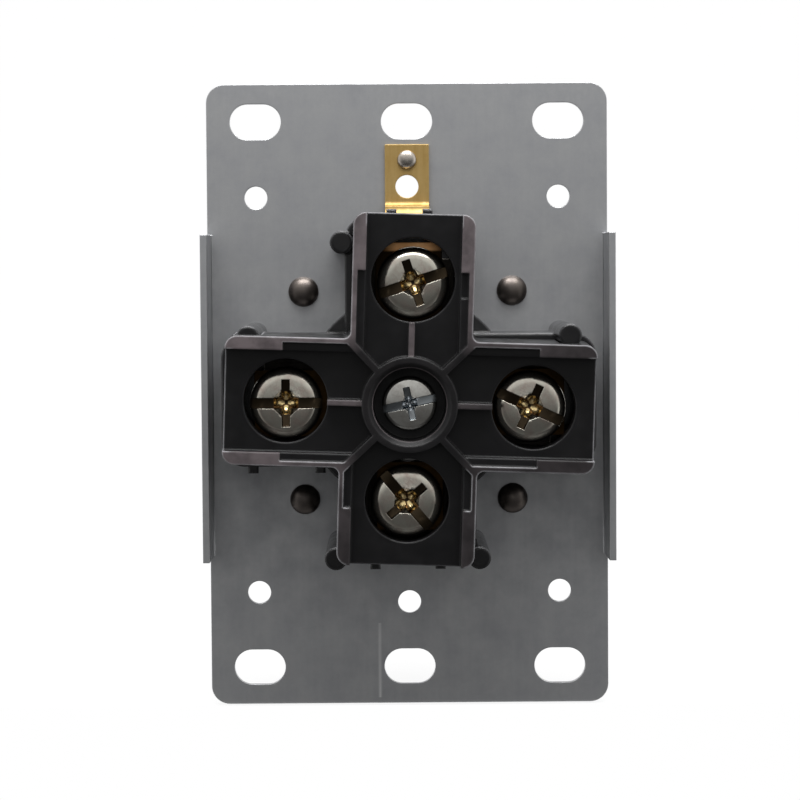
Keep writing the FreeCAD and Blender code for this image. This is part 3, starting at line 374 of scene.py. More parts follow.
@dataclass(frozen=True)
class MetalSheet:
    """Rolled or plated sheet metal: a satin mirror, clouded, with rolling lines and bright cut edges."""

    name: str
    bright: str
    dull: str
    edge: str
    rough_low: float
    rough_high: float
    cloud: float = 5.0
    streak: Point = (0.9, 0.9, 14.0)
    grain: float = 0.16
    bump: float = 0.10
    edge_radius: float = 0.18
    edge_share: float = 0.4
    painted_shade: Optional[str] = None
    lit_above: float = 0.0
    lit_middle: float = 0.0
    lit_half: float = 1.0
    scratch: Optional[Point] = None
    streak_share: float = 0.45

    def build(self) -> bpy.types.Material:
        """Make the material.

        Returns:
            A satin metal whose tone drifts in clouds and streaks, with lighter edges, and painted shade below
            a height and to the sides where it is given.
        """
        made = Surface(self.name)
        normal, edge = made.rounded(self.edge_radius)
        cloud = made.add(
            "ShaderNodeTexNoise",
            {"Vector": made.mm, "Scale": 1.0 / self.cloud, "Detail": 5.0, "Roughness": 0.62},
        )
        drawn = made.add(
            "ShaderNodeMapping", {"Vector": made.mm, "Scale": tuple(1.0 / s for s in self.streak)}
        )
        streak = made.add("ShaderNodeTexNoise", {"Vector": drawn.outputs[0], "Scale": 1.0, "Detail": 3.0})
        grain = made.add("ShaderNodeTexNoise", {"Vector": made.mm, "Scale": 1.0 / self.grain, "Detail": 2.0})
        tone = made.add(
            "ShaderNodeMix", {0: self.streak_share, 2: cloud.outputs[0], 3: streak.outputs[0]},
            data_type="FLOAT",
        )
        spread = made.add(
            "ShaderNodeMapRange", {"Value": tone.outputs[0], "From Min": 0.32, "From Max": 0.68}
        )
        sheet = made.add(
            "ShaderNodeMix", {0: spread.outputs[0], 6: linear(self.dull), 7: linear(self.bright)},
            data_type="RGBA",
        )
        line = made.add("ShaderNodeMath", {0: edge, 1: self.edge_share}, operation="MULTIPLY")
        colour = made.add(
            "ShaderNodeMix", {0: line.outputs[0], 6: sheet.outputs[2], 7: linear(self.edge)},
            data_type="RGBA",
        )
        # Painted shade over everything but the lit end.
        if self.painted_shade is not None:
            colour = made.add(
                "ShaderNodeMix", {0: self.lit_patch(made), 6: linear(self.painted_shade), 7: colour.outputs[2]},
                data_type="RGBA",
            )
        if self.scratch is not None:
            colour = made.add(
                "ShaderNodeMix",
                {0: self.scratched(made, streak), 6: colour.outputs[2], 7: linear(self.edge)},
                data_type="RGBA",
            )
        rough = made.add(
            "ShaderNodeMapRange",
            {"Value": spread.outputs[0], "To Min": self.rough_high, "To Max": self.rough_low},
        )
        bump = made.add(
            "ShaderNodeBump",
            {"Height": grain.outputs[0], "Normal": normal, "Strength": self.bump, "Distance": 0.02 * MM},
        )
        made.link(colour.outputs[2], "Base Color")
        made.link(rough.outputs[0], "Roughness")
        return made.finish(1.0, bump.outputs[0])

    def lit_patch(self, made: Surface) -> bpy.types.NodeSocket:
        """Mask of the lit end, fading out to both sides; shade is painted outside it.

        Args:
            made: The material under way.

        Returns:
            One on the lit end and nought on the painted shade of the rest.
        """
        place = made.add("ShaderNodeSeparateXYZ", {0: made.mm})
        above = made.add(
            "ShaderNodeMapRange",
            {"Value": place.outputs["Z"], "From Min": self.lit_above, "From Max": self.lit_above + 0.3},
        )
        aside = made.add(
            "ShaderNodeMath", {0: place.outputs["X"], 1: self.lit_middle}, operation="SUBTRACT"
        )
        away = made.add("ShaderNodeMath", {0: aside.outputs[0]}, operation="ABSOLUTE")
        within = made.add(
            "ShaderNodeMapRange",
            {"Value": away.outputs[0], "From Min": self.lit_half, "From Max": self.lit_half * 0.5},
        )
        both = made.add("ShaderNodeMath", {0: above.outputs[0], 1: within.outputs[0]}, operation="MULTIPLY")
        return both.outputs[0]

    def scratched(self, made: Surface, patchy: bpy.types.Node) -> bpy.types.NodeSocket:
        """Mask of one thin upright scratch, given by its place across and its two ends.

        Args:
            made: The material under way.
            patchy: The noise that breaks the scratch up.

        Returns:
            High along the scratch and nought beside it.
        """
        across, low, high = self.scratch
        place = made.add("ShaderNodeSeparateXYZ", {0: made.mm})
        aside = made.add("ShaderNodeMath", {0: place.outputs["X"], 1: across}, operation="SUBTRACT")
        away = made.add("ShaderNodeMath", {0: aside.outputs[0]}, operation="ABSOLUTE")
        thin = made.add(
            "ShaderNodeMapRange",
            {"Value": away.outputs[0], "From Min": 0.34, "From Max": 0.04, "To Max": 1.2},
        )
        middle = made.add(
            "ShaderNodeMath", {0: place.outputs["Z"], 1: (low + high) / 2, 2: (high - low) / 2},
            operation="COMPARE",
        )
        run = made.add("ShaderNodeMath", {0: thin.outputs[0], 1: middle.outputs[0]}, operation="MULTIPLY")
        worn = made.add("ShaderNodeMath", {0: run.outputs[0], 1: patchy.outputs[0]}, operation="MULTIPLY")
        return worn.outputs[0]


@dataclass(frozen=True)
class TarnishedAndShadedScrew:
    """Plated steel screw: a satin face with faint stains, and a drive recess gold and brown with tarnish, its
    slots darkened by painted shade and its star partly a painted highlight.
    """

    name: str
    face: str
    stain: str
    # recess is the slot colour, painted shade; star is the petal colour, partly a painted highlight.
    recess: str
    rust: str
    star: str
    rough_low: float = 0.13
    rough_high: float = 0.24
    cloud: float = 1.6
    grain: float = 0.14
    edge_radius: float = 0.08
    star_radius: float = 0.12

    def build(self) -> bpy.types.Material:
        """Make the material.

        Returns:
            A satin face, with painted shade in its slots and a warm star that is partly a painted highlight,
            by the head's own drive attribute.
        """
        made = Surface(self.name)
        crisp, _edge = made.rounded(self.edge_radius)
        hollow, _edge = made.rounded(self.star_radius)
        drive = made.add("ShaderNodeAttribute", attribute_name="drive", attribute_type="GEOMETRY")
        cloud = made.add(
            "ShaderNodeTexNoise",
            {"Vector": made.mm, "Scale": 1.0 / self.cloud, "Detail": 5.0, "Roughness": 0.65},
        )
        grain = made.add("ShaderNodeTexNoise", {"Vector": made.mm, "Scale": 1.0 / self.grain, "Detail": 2.0})
        blot = made.add(
            "ShaderNodeMapRange", {"Value": cloud.outputs[0], "From Min": 0.42, "From Max": 0.70}
        )
        face = made.add(
            "ShaderNodeMix", {0: blot.outputs[0], 6: linear(self.face), 7: linear(self.stain)},
            data_type="RGBA",
        )
        slots, pit, core = (
            made.add(
                "ShaderNodeMath", {0: drive.outputs["Fac"], 1: mark.value - DRIVE_MARGIN},
                operation="GREATER_THAN",
            )
            for mark in (Drive.SLOT, Drive.PIT, Drive.PETAL)
        )
        # Painted shade in the slots; below, a painted highlight on the petals.
        cut = made.add(
            "ShaderNodeMix", {0: slots.outputs[0], 6: face.outputs[2], 7: linear(self.recess)},
            data_type="RGBA",
        )
        rusted = made.add(
            "ShaderNodeMix", {0: pit.outputs[0], 6: cut.outputs[2], 7: linear(self.rust)}, data_type="RGBA"
        )
        colour = made.add(
            "ShaderNodeMix", {0: core.outputs[0], 6: rusted.outputs[2], 7: linear(self.star)},
            data_type="RGBA",
        )
        normal = made.add("ShaderNodeMix", {0: core.outputs[0], 4: crisp, 5: hollow}, data_type="VECTOR")
        rough = made.add(
            "ShaderNodeMapRange",
            {"Value": cloud.outputs[0], "From Min": 0.3, "From Max": 0.7,
             "To Min": self.rough_low, "To Max": self.rough_high},
        )
        bump = made.add(
            "ShaderNodeBump",
            {"Height": grain.outputs[0], "Normal": normal.outputs[1], "Strength": 0.03,
             "Distance": 0.02 * MM},
        )
        made.link(colour.outputs[2], "Base Color")
        made.link(rough.outputs[0], "Roughness")
        return made.finish(1.0, bump.outputs[0])


class Finishes:
    """Every finish on the outlet, built once."""

    def __init__(self) -> None:
        """Build the materials."""
        # Zinc plate on rolled steel: a soft grey mirror that blurs the dark housing in it.
        self.strap = MetalSheet(
            "zinc_plated_steel_sheet", "#bcbdbe", "#a3a4a7", "#e6e6e6", 0.40, 0.48, bump=0.03, edge_share=0.3,
            scratch=(4.6, -46.5, -35.0), streak_share=0.15,
        ).build()
        # Thermoset housing: black gloss, paler on the high lands, with painted highlights along its outer
        # edges.
        self.housing = MouldedThermoset("black_thermoset_moulding").build()
        # The carrier under the cover: the same plastic, glossier, with fainter painted highlights that fall
        # mostly on its upward edges.
        self.carrier = MouldedThermoset(
            "black_thermoset_carrier", rough_low=0.14, rough_high=0.24, sheen=0.5, rim_highlight_share=0.3,
            side_from=-1.0, low_light=0.03, edge_radius=0.7,
        ).build()
        # The same plastic on the face that the plug meets, plain and a little duller, with the same painted
        # edge highlights.
        self.face = MouldedThermoset(
            "black_thermoset_face", rough_low=0.36, rough_high=0.5, land_low=90.0, land_high=91.0,
            rib_level=90.0,
        ).build()
        # Half-hard brass strip: warm gold with darker rolled streaks.
        self.strip = MetalSheet(
            "rolled_brass_strip", "#bfa36c", "#a0844f", "#d4bc88", 0.46, 0.58, cloud=3.0,
            streak=(0.7, 2.0, 9.0),
        ).build()
        # Stamped brass contacts, painted dark brown as the shade deep in their wells.
        self.contact = MetalSheet(
            "shaded_brass_contact", "#3a2a14", "#20170b", "#4a381c", 0.34, 0.5, cloud=3.0,
            streak=(4.0, 4.0, 0.8),
        ).build()
        # The ground contact, painted bright where its end looks out of the well into the light, and painted
        # dark as shade below and to the sides.
        self.ground = MetalSheet(
            "lit_and_shaded_brass_contact", "#d2a272", "#b98452", "#e0bd90", 0.26, 0.38, cloud=3.0,
            streak=(4.0, 4.0, 0.8), painted_shade="#1c140a", lit_above=21.7, lit_middle=-0.6, lit_half=4.6,
        ).build()
        # Turned brass insert: fine rings from the lathe.
        self.insert = MetalSheet(
            "turned_brass_insert", "#cfae6a", "#b08a48", "#ead39c", 0.2, 0.3, cloud=2.0,
            streak=(3.0, 0.25, 3.0),
        ).build()
        # Spring steel clips: a darker, cooler grey than the strap.
        self.spring = MetalSheet(
            "spring_steel_clip", "#8b8c90", "#66676c", "#b9babd", 0.26, 0.38, cloud=3.0
        ).build()
        # Pressed steel clamps, dull and dark down in the wire windows.
        self.clamp = MetalSheet(
            "dulled_steel_clamp", "#3d3a36", "#282624", "#4d4a46", 0.36, 0.5, cloud=2.4
        ).build()
        # Headed steel rivets: small dark domes that blur what they mirror, with a warm brown tint that is a
        # painted reflection.
        self.rivet = MetalSheet(
            "headed_steel_rivet", "#6f6862", "#585250", "#8a8580", 0.32, 0.42, cloud=1.6, edge_share=0.0
        ).build()
        # Soft aluminium rivet, set by a punch.
        self.bond_rivet = MetalSheet(
            "set_aluminium_rivet", "#cfc8bf", "#9d948a", "#e6e1da", 0.2, 0.36, cloud=0.9, edge_share=0.0
        ).build()
        # Terminal screws: dull plate, the recess tarnished to gold and rust, with the slots painted dark as
        # shade and the petals painted pale as highlights.
        self.terminal = TarnishedAndShadedScrew(
            "tarnished_and_shaded_plated_screw", "#c9c6ba", "#b8aaa0", "#3d3428", "#5f4426", "#f0d69e"
        ).build()
        # Centre screw: brighter zinc with a cold tone in its recess, its slots painted darker as shade and
        # its star painted near white as a highlight.
        self.centre = TarnishedAndShadedScrew(
            "zinc_plated_screw", "#d3d2cc", "#b4b0aa", "#8a8f92", "#59636a", "#f2f6fa"
        ).build()


def settle(carrier: bpy.types.Object, name: str) -> bpy.types.Mesh:
    """Turn an object's evaluated geometry into a plain mesh and drop the object.

    Args:
        carrier: The object that carries the modifiers.
        name: The new mesh's name.

    Returns:
        The plain mesh.
    """
    depsgraph = bpy.context.evaluated_depsgraph_get()
    mesh = bpy.data.meshes.new_from_object(carrier.evaluated_get(depsgraph), depsgraph=depsgraph)
    mesh.name = name
    bpy.data.objects.remove(carrier)
    return mesh


def drop_slivers(shape: bmesh.types.BMesh) -> None:
    """Keep only the largest island of faces, without the loose slivers that cutting leaves.

    Args:
        shape: The cut shape.
    """
    left = set(shape.faces)
    islands = []
    while left:
        island = [left.pop()]
        for face in island:
            near = {other for edge in face.edges for other in edge.link_faces} & left
            left -= near
            island.extend(near)
        islands.append(island)
    largest = max(islands, key=len)
    loose = [face for island in islands if island is not largest for face in island]
    bmesh.ops.delete(shape, geom=loose, context="FACES")


def show(mesh: bpy.types.Mesh, name: str) -> bpy.types.Object:
    """Put a mesh in the scene as an object at the origin.

    Args:
        mesh: The mesh to show.
        name: The object's name.

    Returns:
        The new object.
    """
    made = bpy.data.objects.new(name, mesh)
    bpy.context.scene.collection.objects.link(made)
    return made


class NodeTree(Nodes):
    """A Geometry Nodes tree with named inputs."""

    def __init__(self, name: str, inputs: Sequence[Tuple[str, str]]) -> None:
        """Start a tree.

        Args:
            name: The tree's name.
            inputs: The name and socket type of each input.
        """
        self.tree = bpy.data.node_groups.new(name, "GeometryNodeTree")
        self.tree.interface.new_socket(name="Geometry", in_out="INPUT", socket_type="NodeSocketGeometry")
        self.keys: Dict[str, str] = {}
        for title, kind in inputs:
            socket = self.tree.interface.new_socket(name=title, in_out="INPUT", socket_type=kind)
            self.keys[title] = socket.identifier
        self.tree.interface.new_socket(name="Geometry", in_out="OUTPUT", socket_type="NodeSocketGeometry")
        self.given = self.add("NodeGroupInput").outputs

    def close(self, geometry: bpy.types.NodeSocket) -> None:
        """End the tree in real, dressed geometry.

        Args:
            geometry: What the tree has made.
        """
        real = self.add("GeometryNodeRealizeInstances", {"Geometry": geometry})
        dressed = self.add(
            "GeometryNodeSetMaterial", {"Geometry": real.outputs[0], "Material": self.given["Material"]}
        )
        self.add("NodeGroupOutput", {0: dressed.outputs[0]})

    def run(self, base: bpy.types.Mesh, name: str, values: Dict[str, Any]) -> bpy.types.Mesh:
        """Run the tree once.

        Args:
            base: The mesh that the tree starts from.
            name: The result's name.
            values: A value for each named input.

        Returns:
            The result as a plain mesh.
        """
        carrier = show(base, name + "_base")
        modifier = carrier.modifiers.new("nodes", "NODES")
        modifier.node_group = self.tree
        for title, value in values.items():
            modifier[self.keys[title]] = value
        return settle(carrier, name)


class RivetTree(NodeTree):
    """Sets a turned rivet on each point: dome behind, shank through, foot in front."""

    SIDES = 40
    FLAT_RINGS = 5
    DOME_RINGS = 12
    DOME_TURN = math.radians(88)

    def __init__(self) -> None:
        """Build the tree."""
        real = "NodeSocketFloat"
        super().__init__("set_rivets", [
            ("Head Radius", real), ("Dome Height", real), ("Rim", real), ("Shank Radius", real),
            ("Shank Length", real), ("Foot Radius", real), ("Foot Height", real),
            ("Material", "NodeSocketMaterial"),
        ])
        given = self.given
        maths = "ShaderNodeMath"
        rings = self.FLAT_RINGS + self.DOME_RINGS
        blank = self.add(
            "GeometryNodeMeshCylinder",
            {"Vertices": self.SIDES, "Side Segments": rings, "Radius": 1.0, "Depth": 1.0},
            fill_type="TRIANGLE_FAN",
        )
        spot = self.add("GeometryNodeInputPosition")
        part = self.add("ShaderNodeSeparateXYZ", {0: spot.outputs[0]})
        count = self.add(
            maths, {0: part.outputs["Z"], 1: float(rings), 2: rings / 2}, operation="MULTIPLY_ADD"
        )
        ring = self.add(maths, {0: count.outputs[0]}, operation="ROUND")
        domed = self.add(maths, {0: ring.outputs[0], 1: float(self.FLAT_RINGS)}, operation="SUBTRACT")
        lean = self.add(
            maths, {0: domed.outputs[0], 1: self.DOME_TURN / self.DOME_RINGS}, operation="MULTIPLY"
        )
        inward = self.add(maths, {0: lean.outputs[0]}, operation="COSINE")
        upward = self.add(maths, {0: lean.outputs[0]}, operation="SINE")
        rise = self.add(maths, {0: given["Dome Height"], 1: given["Rim"]}, operation="SUBTRACT")
        round_radius = self.add(
            maths, {0: given["Head Radius"], 1: inward.outputs[0]}, operation="MULTIPLY"
        )
        round_level = self.add(
            maths, {0: rise.outputs[0], 1: upward.outputs[0], 2: given["Rim"]}, operation="MULTIPLY_ADD"
        )
        end = self.add(maths, {0: given["Shank Length"], 1: -1.0}, operation="MULTIPLY")
        tail = self.add(maths, {0: end.outputs[0], 1: given["Foot Height"]}, operation="SUBTRACT")
        row = self.add(maths, {0: ring.outputs[0], 1: float(self.FLAT_RINGS)}, operation="MINIMUM")
        radii = [given[name + " Radius"] for name in ("Foot", "Foot", "Shank", "Shank", "Head")]
        # The seat is at nought, which a socket without a link already says.
        seat = None
        levels = [tail.outputs[0], end.outputs[0], end.outputs[0], seat, seat]
        chosen = []
        for lengths in (radii + [round_radius.outputs[0]], levels + [round_level.outputs[0]]):
            switch = self.add("GeometryNodeIndexSwitch", {"Index": row.outputs[0]}, data_type="FLOAT")
            for _extra in lengths[2:]:
                switch.index_switch_items.new()
            for slot, length in zip(switch.inputs[1:], lengths):
                if length is not seat:
                    self.tree.links.new(length, slot)
            chosen.append(switch.outputs[0])
        radius, level = chosen
        x = self.add(maths, {0: part.outputs["X"], 1: radius}, operation="MULTIPLY")
        y = self.add(maths, {0: part.outputs["Y"], 1: radius}, operation="MULTIPLY")
        place = self.add("ShaderNodeCombineXYZ", {0: x.outputs[0], 1: y.outputs[0], 2: level})
        turned = self.add(
            "GeometryNodeSetPosition", {"Geometry": blank.outputs["Mesh"], "Position": place.outputs[0]}
        )
        closed = self.add(
            "GeometryNodeMergeByDistance", {"Geometry": turned.outputs[0], "Distance": 0.002 * MM}
        )
        smooth = self.add("GeometryNodeSetShadeSmooth", {"Geometry": closed.outputs[0]})
        points = self.add("GeometryNodeMeshToPoints", {"Mesh": given["Geometry"]})
        placed = self.add(
            "GeometryNodeInstanceOnPoints",
            {"Points": points.outputs[0], "Instance": smooth.outputs[0],
             "Rotation": (-math.pi / 2, 0.0, 0.0)},
        )
        self.close(placed.outputs[0])


class ThreadTree(NodeTree):
    """Winds a thread ridge round a shank that hangs from the origin."""

    def __init__(self) -> None:
        """Build the tree."""
        real = "NodeSocketFloat"
        super().__init__("wound_thread", [
            ("Root Radius", real), ("Length", real), ("Turns", real), ("Ridge", real),
            ("Material", "NodeSocketMaterial"),
        ])
        given = self.given
        wound = self.add(
            "GeometryNodeCurveSpiral",
            {"Resolution": 40, "Rotations": given["Turns"], "Start Radius": given["Root Radius"],
             "End Radius": given["Root Radius"], "Height": given["Length"]},
        )
        ridge = self.add("GeometryNodeCurvePrimitiveCircle", {"Resolution": 4, "Radius": given["Ridge"]})
        swept = self.add(
            "GeometryNodeCurveToMesh",
            {"Curve": wound.outputs[0], "Profile Curve": ridge.outputs[0], "Fill Caps": True},
        )
        core = self.add(
            "GeometryNodeMeshCylinder",
            {"Vertices": 48, "Radius": given["Root Radius"], "Depth": given["Length"]},
        )
        middle = self.add("ShaderNodeMath", {0: given["Length"], 1: 0.5}, operation="MULTIPLY")
        at = self.add("ShaderNodeCombineXYZ", {2: middle.outputs[0]})
        moved = self.add(
            "GeometryNodeTransform", {"Geometry": core.outputs["Mesh"], "Translation": at.outputs[0]}
        )
        whole = self.add("GeometryNodeJoinGeometry")
        self.tree.links.new(swept.outputs[0], whole.inputs[0])
        self.tree.links.new(moved.outputs[0], whole.inputs[0])
        self.close(whole.outputs[0])


def corners(across: float, along: float) -> Outline:
    """Corners of a rectangle by its half sides."""
    return [(-across, -along), (across, -along), (across, along), (-across, along)]


@dataclass
class DriveHead:
    """A pan head with a slot and a cross recess, all sizes in millimetres."""

    radius: float
    height: float
    crown_radius: float
    crown_drop: float
    shoulder: float
    shoulder_drop: float
    slot_width: float
    slot_depth: float
    cross_width: float
    cross_span: float
    cross_depth: float
    mouth: float
    core_depth: float
    pit: float
    lip: float = 0.15
    broken_edge: float = 0.12
    over: float = 0.4
    pit_drop: float = 0.3
    pit_floor: float = 0.14
    pit_overlap: float = 0.02
    margin: float = 0.1
    steps: int = 112
    shoulder_steps: int = 18
    crown_steps: int = 9

    # Place, lift and half sizes of a petal, as shares of the pit.
    PETAL_PLACE = 0.58
    PETAL_LIFT = 1 / 12
    PETAL_HALVES = (19 / 36, 1 / 6, 1 / 3)
    # How far from a petal's middle its faces lie, and how far up the pit's flanks look.
    PETAL_SHELL = (0.9, 1.02)
    SLANT = (0.25, 0.93)

    def crown(self, r: float) -> float:
        """Height of the plain crown at a distance from the axis."""
        return self.height - self.crown_drop * (r / self.crown_radius) ** 2

    def profile(self) -> Outline:
        """Outline of the head from its underside to the middle of its crown.

        Returns:
            Radius and height of each turned ring.
        """
        bend = self.lip * 0.3
        points = [(self.radius - self.lip, 0.0), (self.radius - bend, bend), (self.radius, self.lip)]
        edge = self.radius - self.shoulder
        slope = 2.0 * self.crown_drop * edge / self.crown_radius ** 2
        top = self.crown(edge)
        lean = math.atan(slope)
        for k in range(self.shoulder_steps + 1):
            turn = lean + (math.pi / 2 - lean) * (1.0 - k / self.shoulder_steps)
            r = edge + self.shoulder * (math.sin(turn) - math.sin(lean)) / (1.0 - math.sin(lean))
            h = top - self.shoulder_drop * (math.cos(lean) - math.cos(turn))
            points.append((r, h))
        for k in range(1, self.crown_steps):
            r = edge * (1.0 - k / self.crown_steps)
            points.append((r, self.crown(r)))
        return points

    def turned(self) -> bpy.types.Mesh:
        """Turn the blank head about the Y axis.

        Returns:
            A closed mesh in metres.
        """
        shape = bmesh.new()
        rings = []
        for r, h in self.profile():
            ring = []
            for k in range(self.steps):
                turn = 2.0 * math.pi * k / self.steps
                ring.append(shape.verts.new((r * MM * math.cos(turn), h * MM, r * MM * math.sin(turn))))
            rings.append(ring)
        for low, high in zip(rings, rings[1:]):
            for k in range(self.steps):
                after = (k + 1) % self.steps
                shape.faces.new((low[k], low[after], high[after], high[k]))
        shape.faces.new(rings[0])
        tip = shape.verts.new((0.0, self.height * MM, 0.0))
        for k in range(self.steps):
            shape.faces.new((rings[-1][k], rings[-1][(k + 1) % self.steps], tip))
        bmesh.ops.recalc_face_normals(shape, faces=shape.faces)
        mesh = bpy.data.meshes.new("turned_head")
        shape.to_mesh(mesh)
        shape.free()
        return mesh

    def cutter(self, lower: Outline, upper: Outline, low: float, high: float) -> bpy.types.Object:
        """Make one cutting block between two outlines.

        Args:
            lower: Corners of the deep end, across and along.
            upper: Corners of the open end.
            low: Height of the deep end.
            high: Height of the open end.

        Returns:
            The block, as an object.
        """
        shape = bmesh.new()
        deep = [shape.verts.new((u * MM, low * MM, v * MM)) for u, v in lower]
        wide = [shape.verts.new((u * MM, high * MM, v * MM)) for u, v in upper]
        shape.faces.new(deep)
        shape.faces.new(wide)
        for k in range(len(deep)):
            after = (k + 1) % len(deep)
            shape.faces.new((deep[k], deep[after], wide[after], wide[k]))
        bmesh.ops.recalc_face_normals(shape, faces=shape.faces)
        mesh = bpy.data.meshes.new("cutter")
        shape.to_mesh(mesh)
        shape.free()
        return show(mesh, "cutter")

    def block(self, across: float, along: float, taper: float, depth: float) -> bpy.types.Object:
        """Make a slot cutter with walls that lean out.

        Args:
            across: Half its width.
            along: Half its length.
            taper: How far its walls lean.
            depth: How deep it cuts.

        Returns:
            The cutter, as an object.
        """
        flare = taper * 0.3
        return self.cutter(
            corners(across - taper, along - taper), corners(across + flare, along + flare),
            self.height - depth, self.height + self.over,
        )

    def star(self) -> bpy.types.Object:
        """Make the cutter of the four-sided hollow in the middle, narrowing to its bottom.

        Returns:
            The cutter, as an object.
        """
        wide = self.mouth / 2
        deep = wide * 0.16
        top = wide + (wide - deep) * self.over / self.core_depth
        return self.cutter(
            [(deep, 0), (0, deep), (-deep, 0), (0, -deep)], [(top, 0), (0, top), (-top, 0), (0, -top)],
            self.height - self.core_depth, self.height + self.over,
        )

    def hollow(self) -> bpy.types.Object:
        """Make the cutter of the pit under the slots, with a slanted flank along each arm.

        Returns:
            The cutter, as an object.
        """
        low = self.pit * self.pit_floor
        return self.cutter(
            corners(low, low), corners(self.pit, self.pit), self.height - self.core_depth - self.pit_drop,
            self.height - self.slot_depth + self.pit_overlap,
        )

    def petal(self, arm: int) -> Matrix:
        """Place the oval scoop in the pit's flank along one arm.

        Args:
            arm: The arm's number.

        Returns:
            The way from a unit ball to the scoop, in metres.
        """
        rise = self.core_depth + self.pit_drop + self.pit_overlap - self.slot_depth
        slope = math.atan2(rise, self.pit * (1.0 - self.pit_floor))
        middle = self.pit * self.PETAL_PLACE
        climb = (middle - self.pit * self.pit_floor) * math.tan(slope)
        level = self.height - self.core_depth - self.pit_drop + climb
        size = self.pit * MM
        lift = Matrix.Translation((0.0, self.PETAL_LIFT * size, 0.0))
        shape = Matrix.Diagonal([half * size for half in self.PETAL_HALVES] + [1.0])
        at = Matrix.Translation((middle * MM, level * MM, 0.0)) @ Matrix.Rotation(slope, 4, "Z")
        return Matrix.Rotation(arm * math.pi / 2, 4, "Y") @ at @ lift @ shape

    def scoop(self, arm: int) -> bpy.types.Object:
        """Make the oval cutter for one arm.

        Args:
            arm: The arm's number.

        Returns:
            The cutter, as an object.
        """
        shape = bmesh.new()
        bmesh.ops.create_uvsphere(shape, u_segments=28, v_segments=16, radius=1.0)
        bmesh.ops.transform(shape, matrix=self.petal(arm), verts=shape.verts)
        bmesh.ops.recalc_face_normals(shape, faces=shape.faces)
        mesh = bpy.data.meshes.new("scoop")
        shape.to_mesh(mesh)
        shape.free()
        return show(mesh, "scoop")

    def skin(self, r: float) -> float:
        """Height of the uncut head at a distance from the axis.

        Args:
            r: The distance.

        Returns:
            The height over the seat.
        """
        edge = self.radius - self.shoulder
        if r <= edge:
            return self.crown(r)
        part = min(1.0, (r - edge) / self.shoulder)
        return self.crown(edge) - self.shoulder_drop * (1.0 - math.sqrt(1.0 - part * part))

    def drive(self, spot: Vector, normal: Vector) -> Drive:
        """Tell which part of the drive a face belongs to.

        Args:
            spot: The face's middle, in millimetres from the seat.
            normal: The way the face looks.

        Returns:
            The part, or the plain head.
        """
        r = math.hypot(spot.x, spot.z)
        if r > self.radius - self.margin or spot.y > self.skin(r) - 2.0 * self.margin:
            return Drive.PLAIN
        inner, outer = self.PETAL_SHELL
        for arm in range(4):
            if inner < (self.petal(arm).inverted() @ (spot * MM)).length < outer:
                return Drive.PETAL
        steep, flat = self.SLANT
        within = abs(spot.x) + abs(spot.z) < self.mouth / 2 + self.margin
        return Drive.PIT if steep < normal.y < flat and within else Drive.SLOT

    def cut(self) -> bpy.types.Mesh:
        """Cut the drive into the turned head and break its edges.

        Returns:
            The finished head.
        """
        head = show(self.turned(), "head")
        tools = [
            self.block(self.radius + 1.0, self.slot_width / 2, 0.06, self.slot_depth),
            self.block(self.cross_width / 2, self.cross_span / 2, 0.10, self.cross_depth),
            self.star(),
            self.hollow(),
        ] + [self.scoop(arm) for arm in range(4)]
        for tool in tools:
            cut = head.modifiers.new("cut", "BOOLEAN")
            cut.operation = "DIFFERENCE"
            cut.solver = "EXACT"
            cut.object = tool
        round_edges = head.modifiers.new("edges", "BEVEL")
        round_edges.width = self.broken_edge * MM
        round_edges.segments = 2
        round_edges.limit_method = "ANGLE"
        round_edges.angle_limit = math.radians(50)
        round_edges.use_clamp_overlap = True
        mesh = settle(head, "cut_head")
        for tool in tools:
            bpy.data.objects.remove(tool)
        return mesh


@dataclass
class Screw:
    """One screw: its head, its thread, and where it sits."""

    node: str
    body: Body
    slot: str
    head: DriveHead
    turn: float
    shank: float
    pitch: float = 0.794
    ridge: float = 0.34
    play: float = 0.03

    def build(self, thread: ThreadTree, finish: bpy.types.Material) -> bpy.types.Object:
        """Make the screw in its place.

        Args:
            thread: The tree that winds threads.
            finish: The screw's material.

        Returns:
            The screw's object, riding on its body.
        """
        low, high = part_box(self.node)
        seat = high.y - self.head.height * MM
        length = seat - low.y
        wound = thread.run(bpy.data.meshes.new("shank"), self.node + "_thread", {
            "Root Radius": (self.shank - self.play - self.ridge) * MM, "Length": length,
            "Turns": length / (self.pitch * MM), "Ridge": self.ridge * MM, "Material": finish,
        })
        wound.transform(Matrix.Rotation(math.pi / 2, 4, "X"))
        shape = bmesh.new()
        shape.from_mesh(self.head.cut())
        drop_slivers(shape)
        head_count = len(shape.faces)
        shape.from_mesh(wound)
        shape.faces.ensure_lookup_table()
        layer = shape.faces.layers.float.new("drive")
        for face in shape.faces[:head_count]:
            face[layer] = self.head.drive(face.calc_center_median() / MM, face.normal).value
        mesh = bpy.data.meshes.new(self.node + "_dressed")
        shape.to_mesh(mesh)
        shape.free()
        mesh.materials.clear()
        mesh.materials.append(finish)
        mesh.polygons.foreach_set("material_index", [0] * len(mesh.polygons))
        mesh.polygons.foreach_set("use_smooth", [True] * len(mesh.polygons))
        mesh.set_sharp_from_angle(angle=SHARP_ANGLE)
        mesh.transform(
            Matrix.Translation(((low.x + high.x) / 2, seat, (low.z + high.z) / 2))
            @ Matrix.Rotation(math.radians(-self.turn), 4, "Y")
        )
        made = show(mesh, self.node + "_dressed")
        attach(made, self.body.value)
        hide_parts(self.node)
        LOG.info("%s: %d faces", made.name, len(mesh.polygons))
        return made


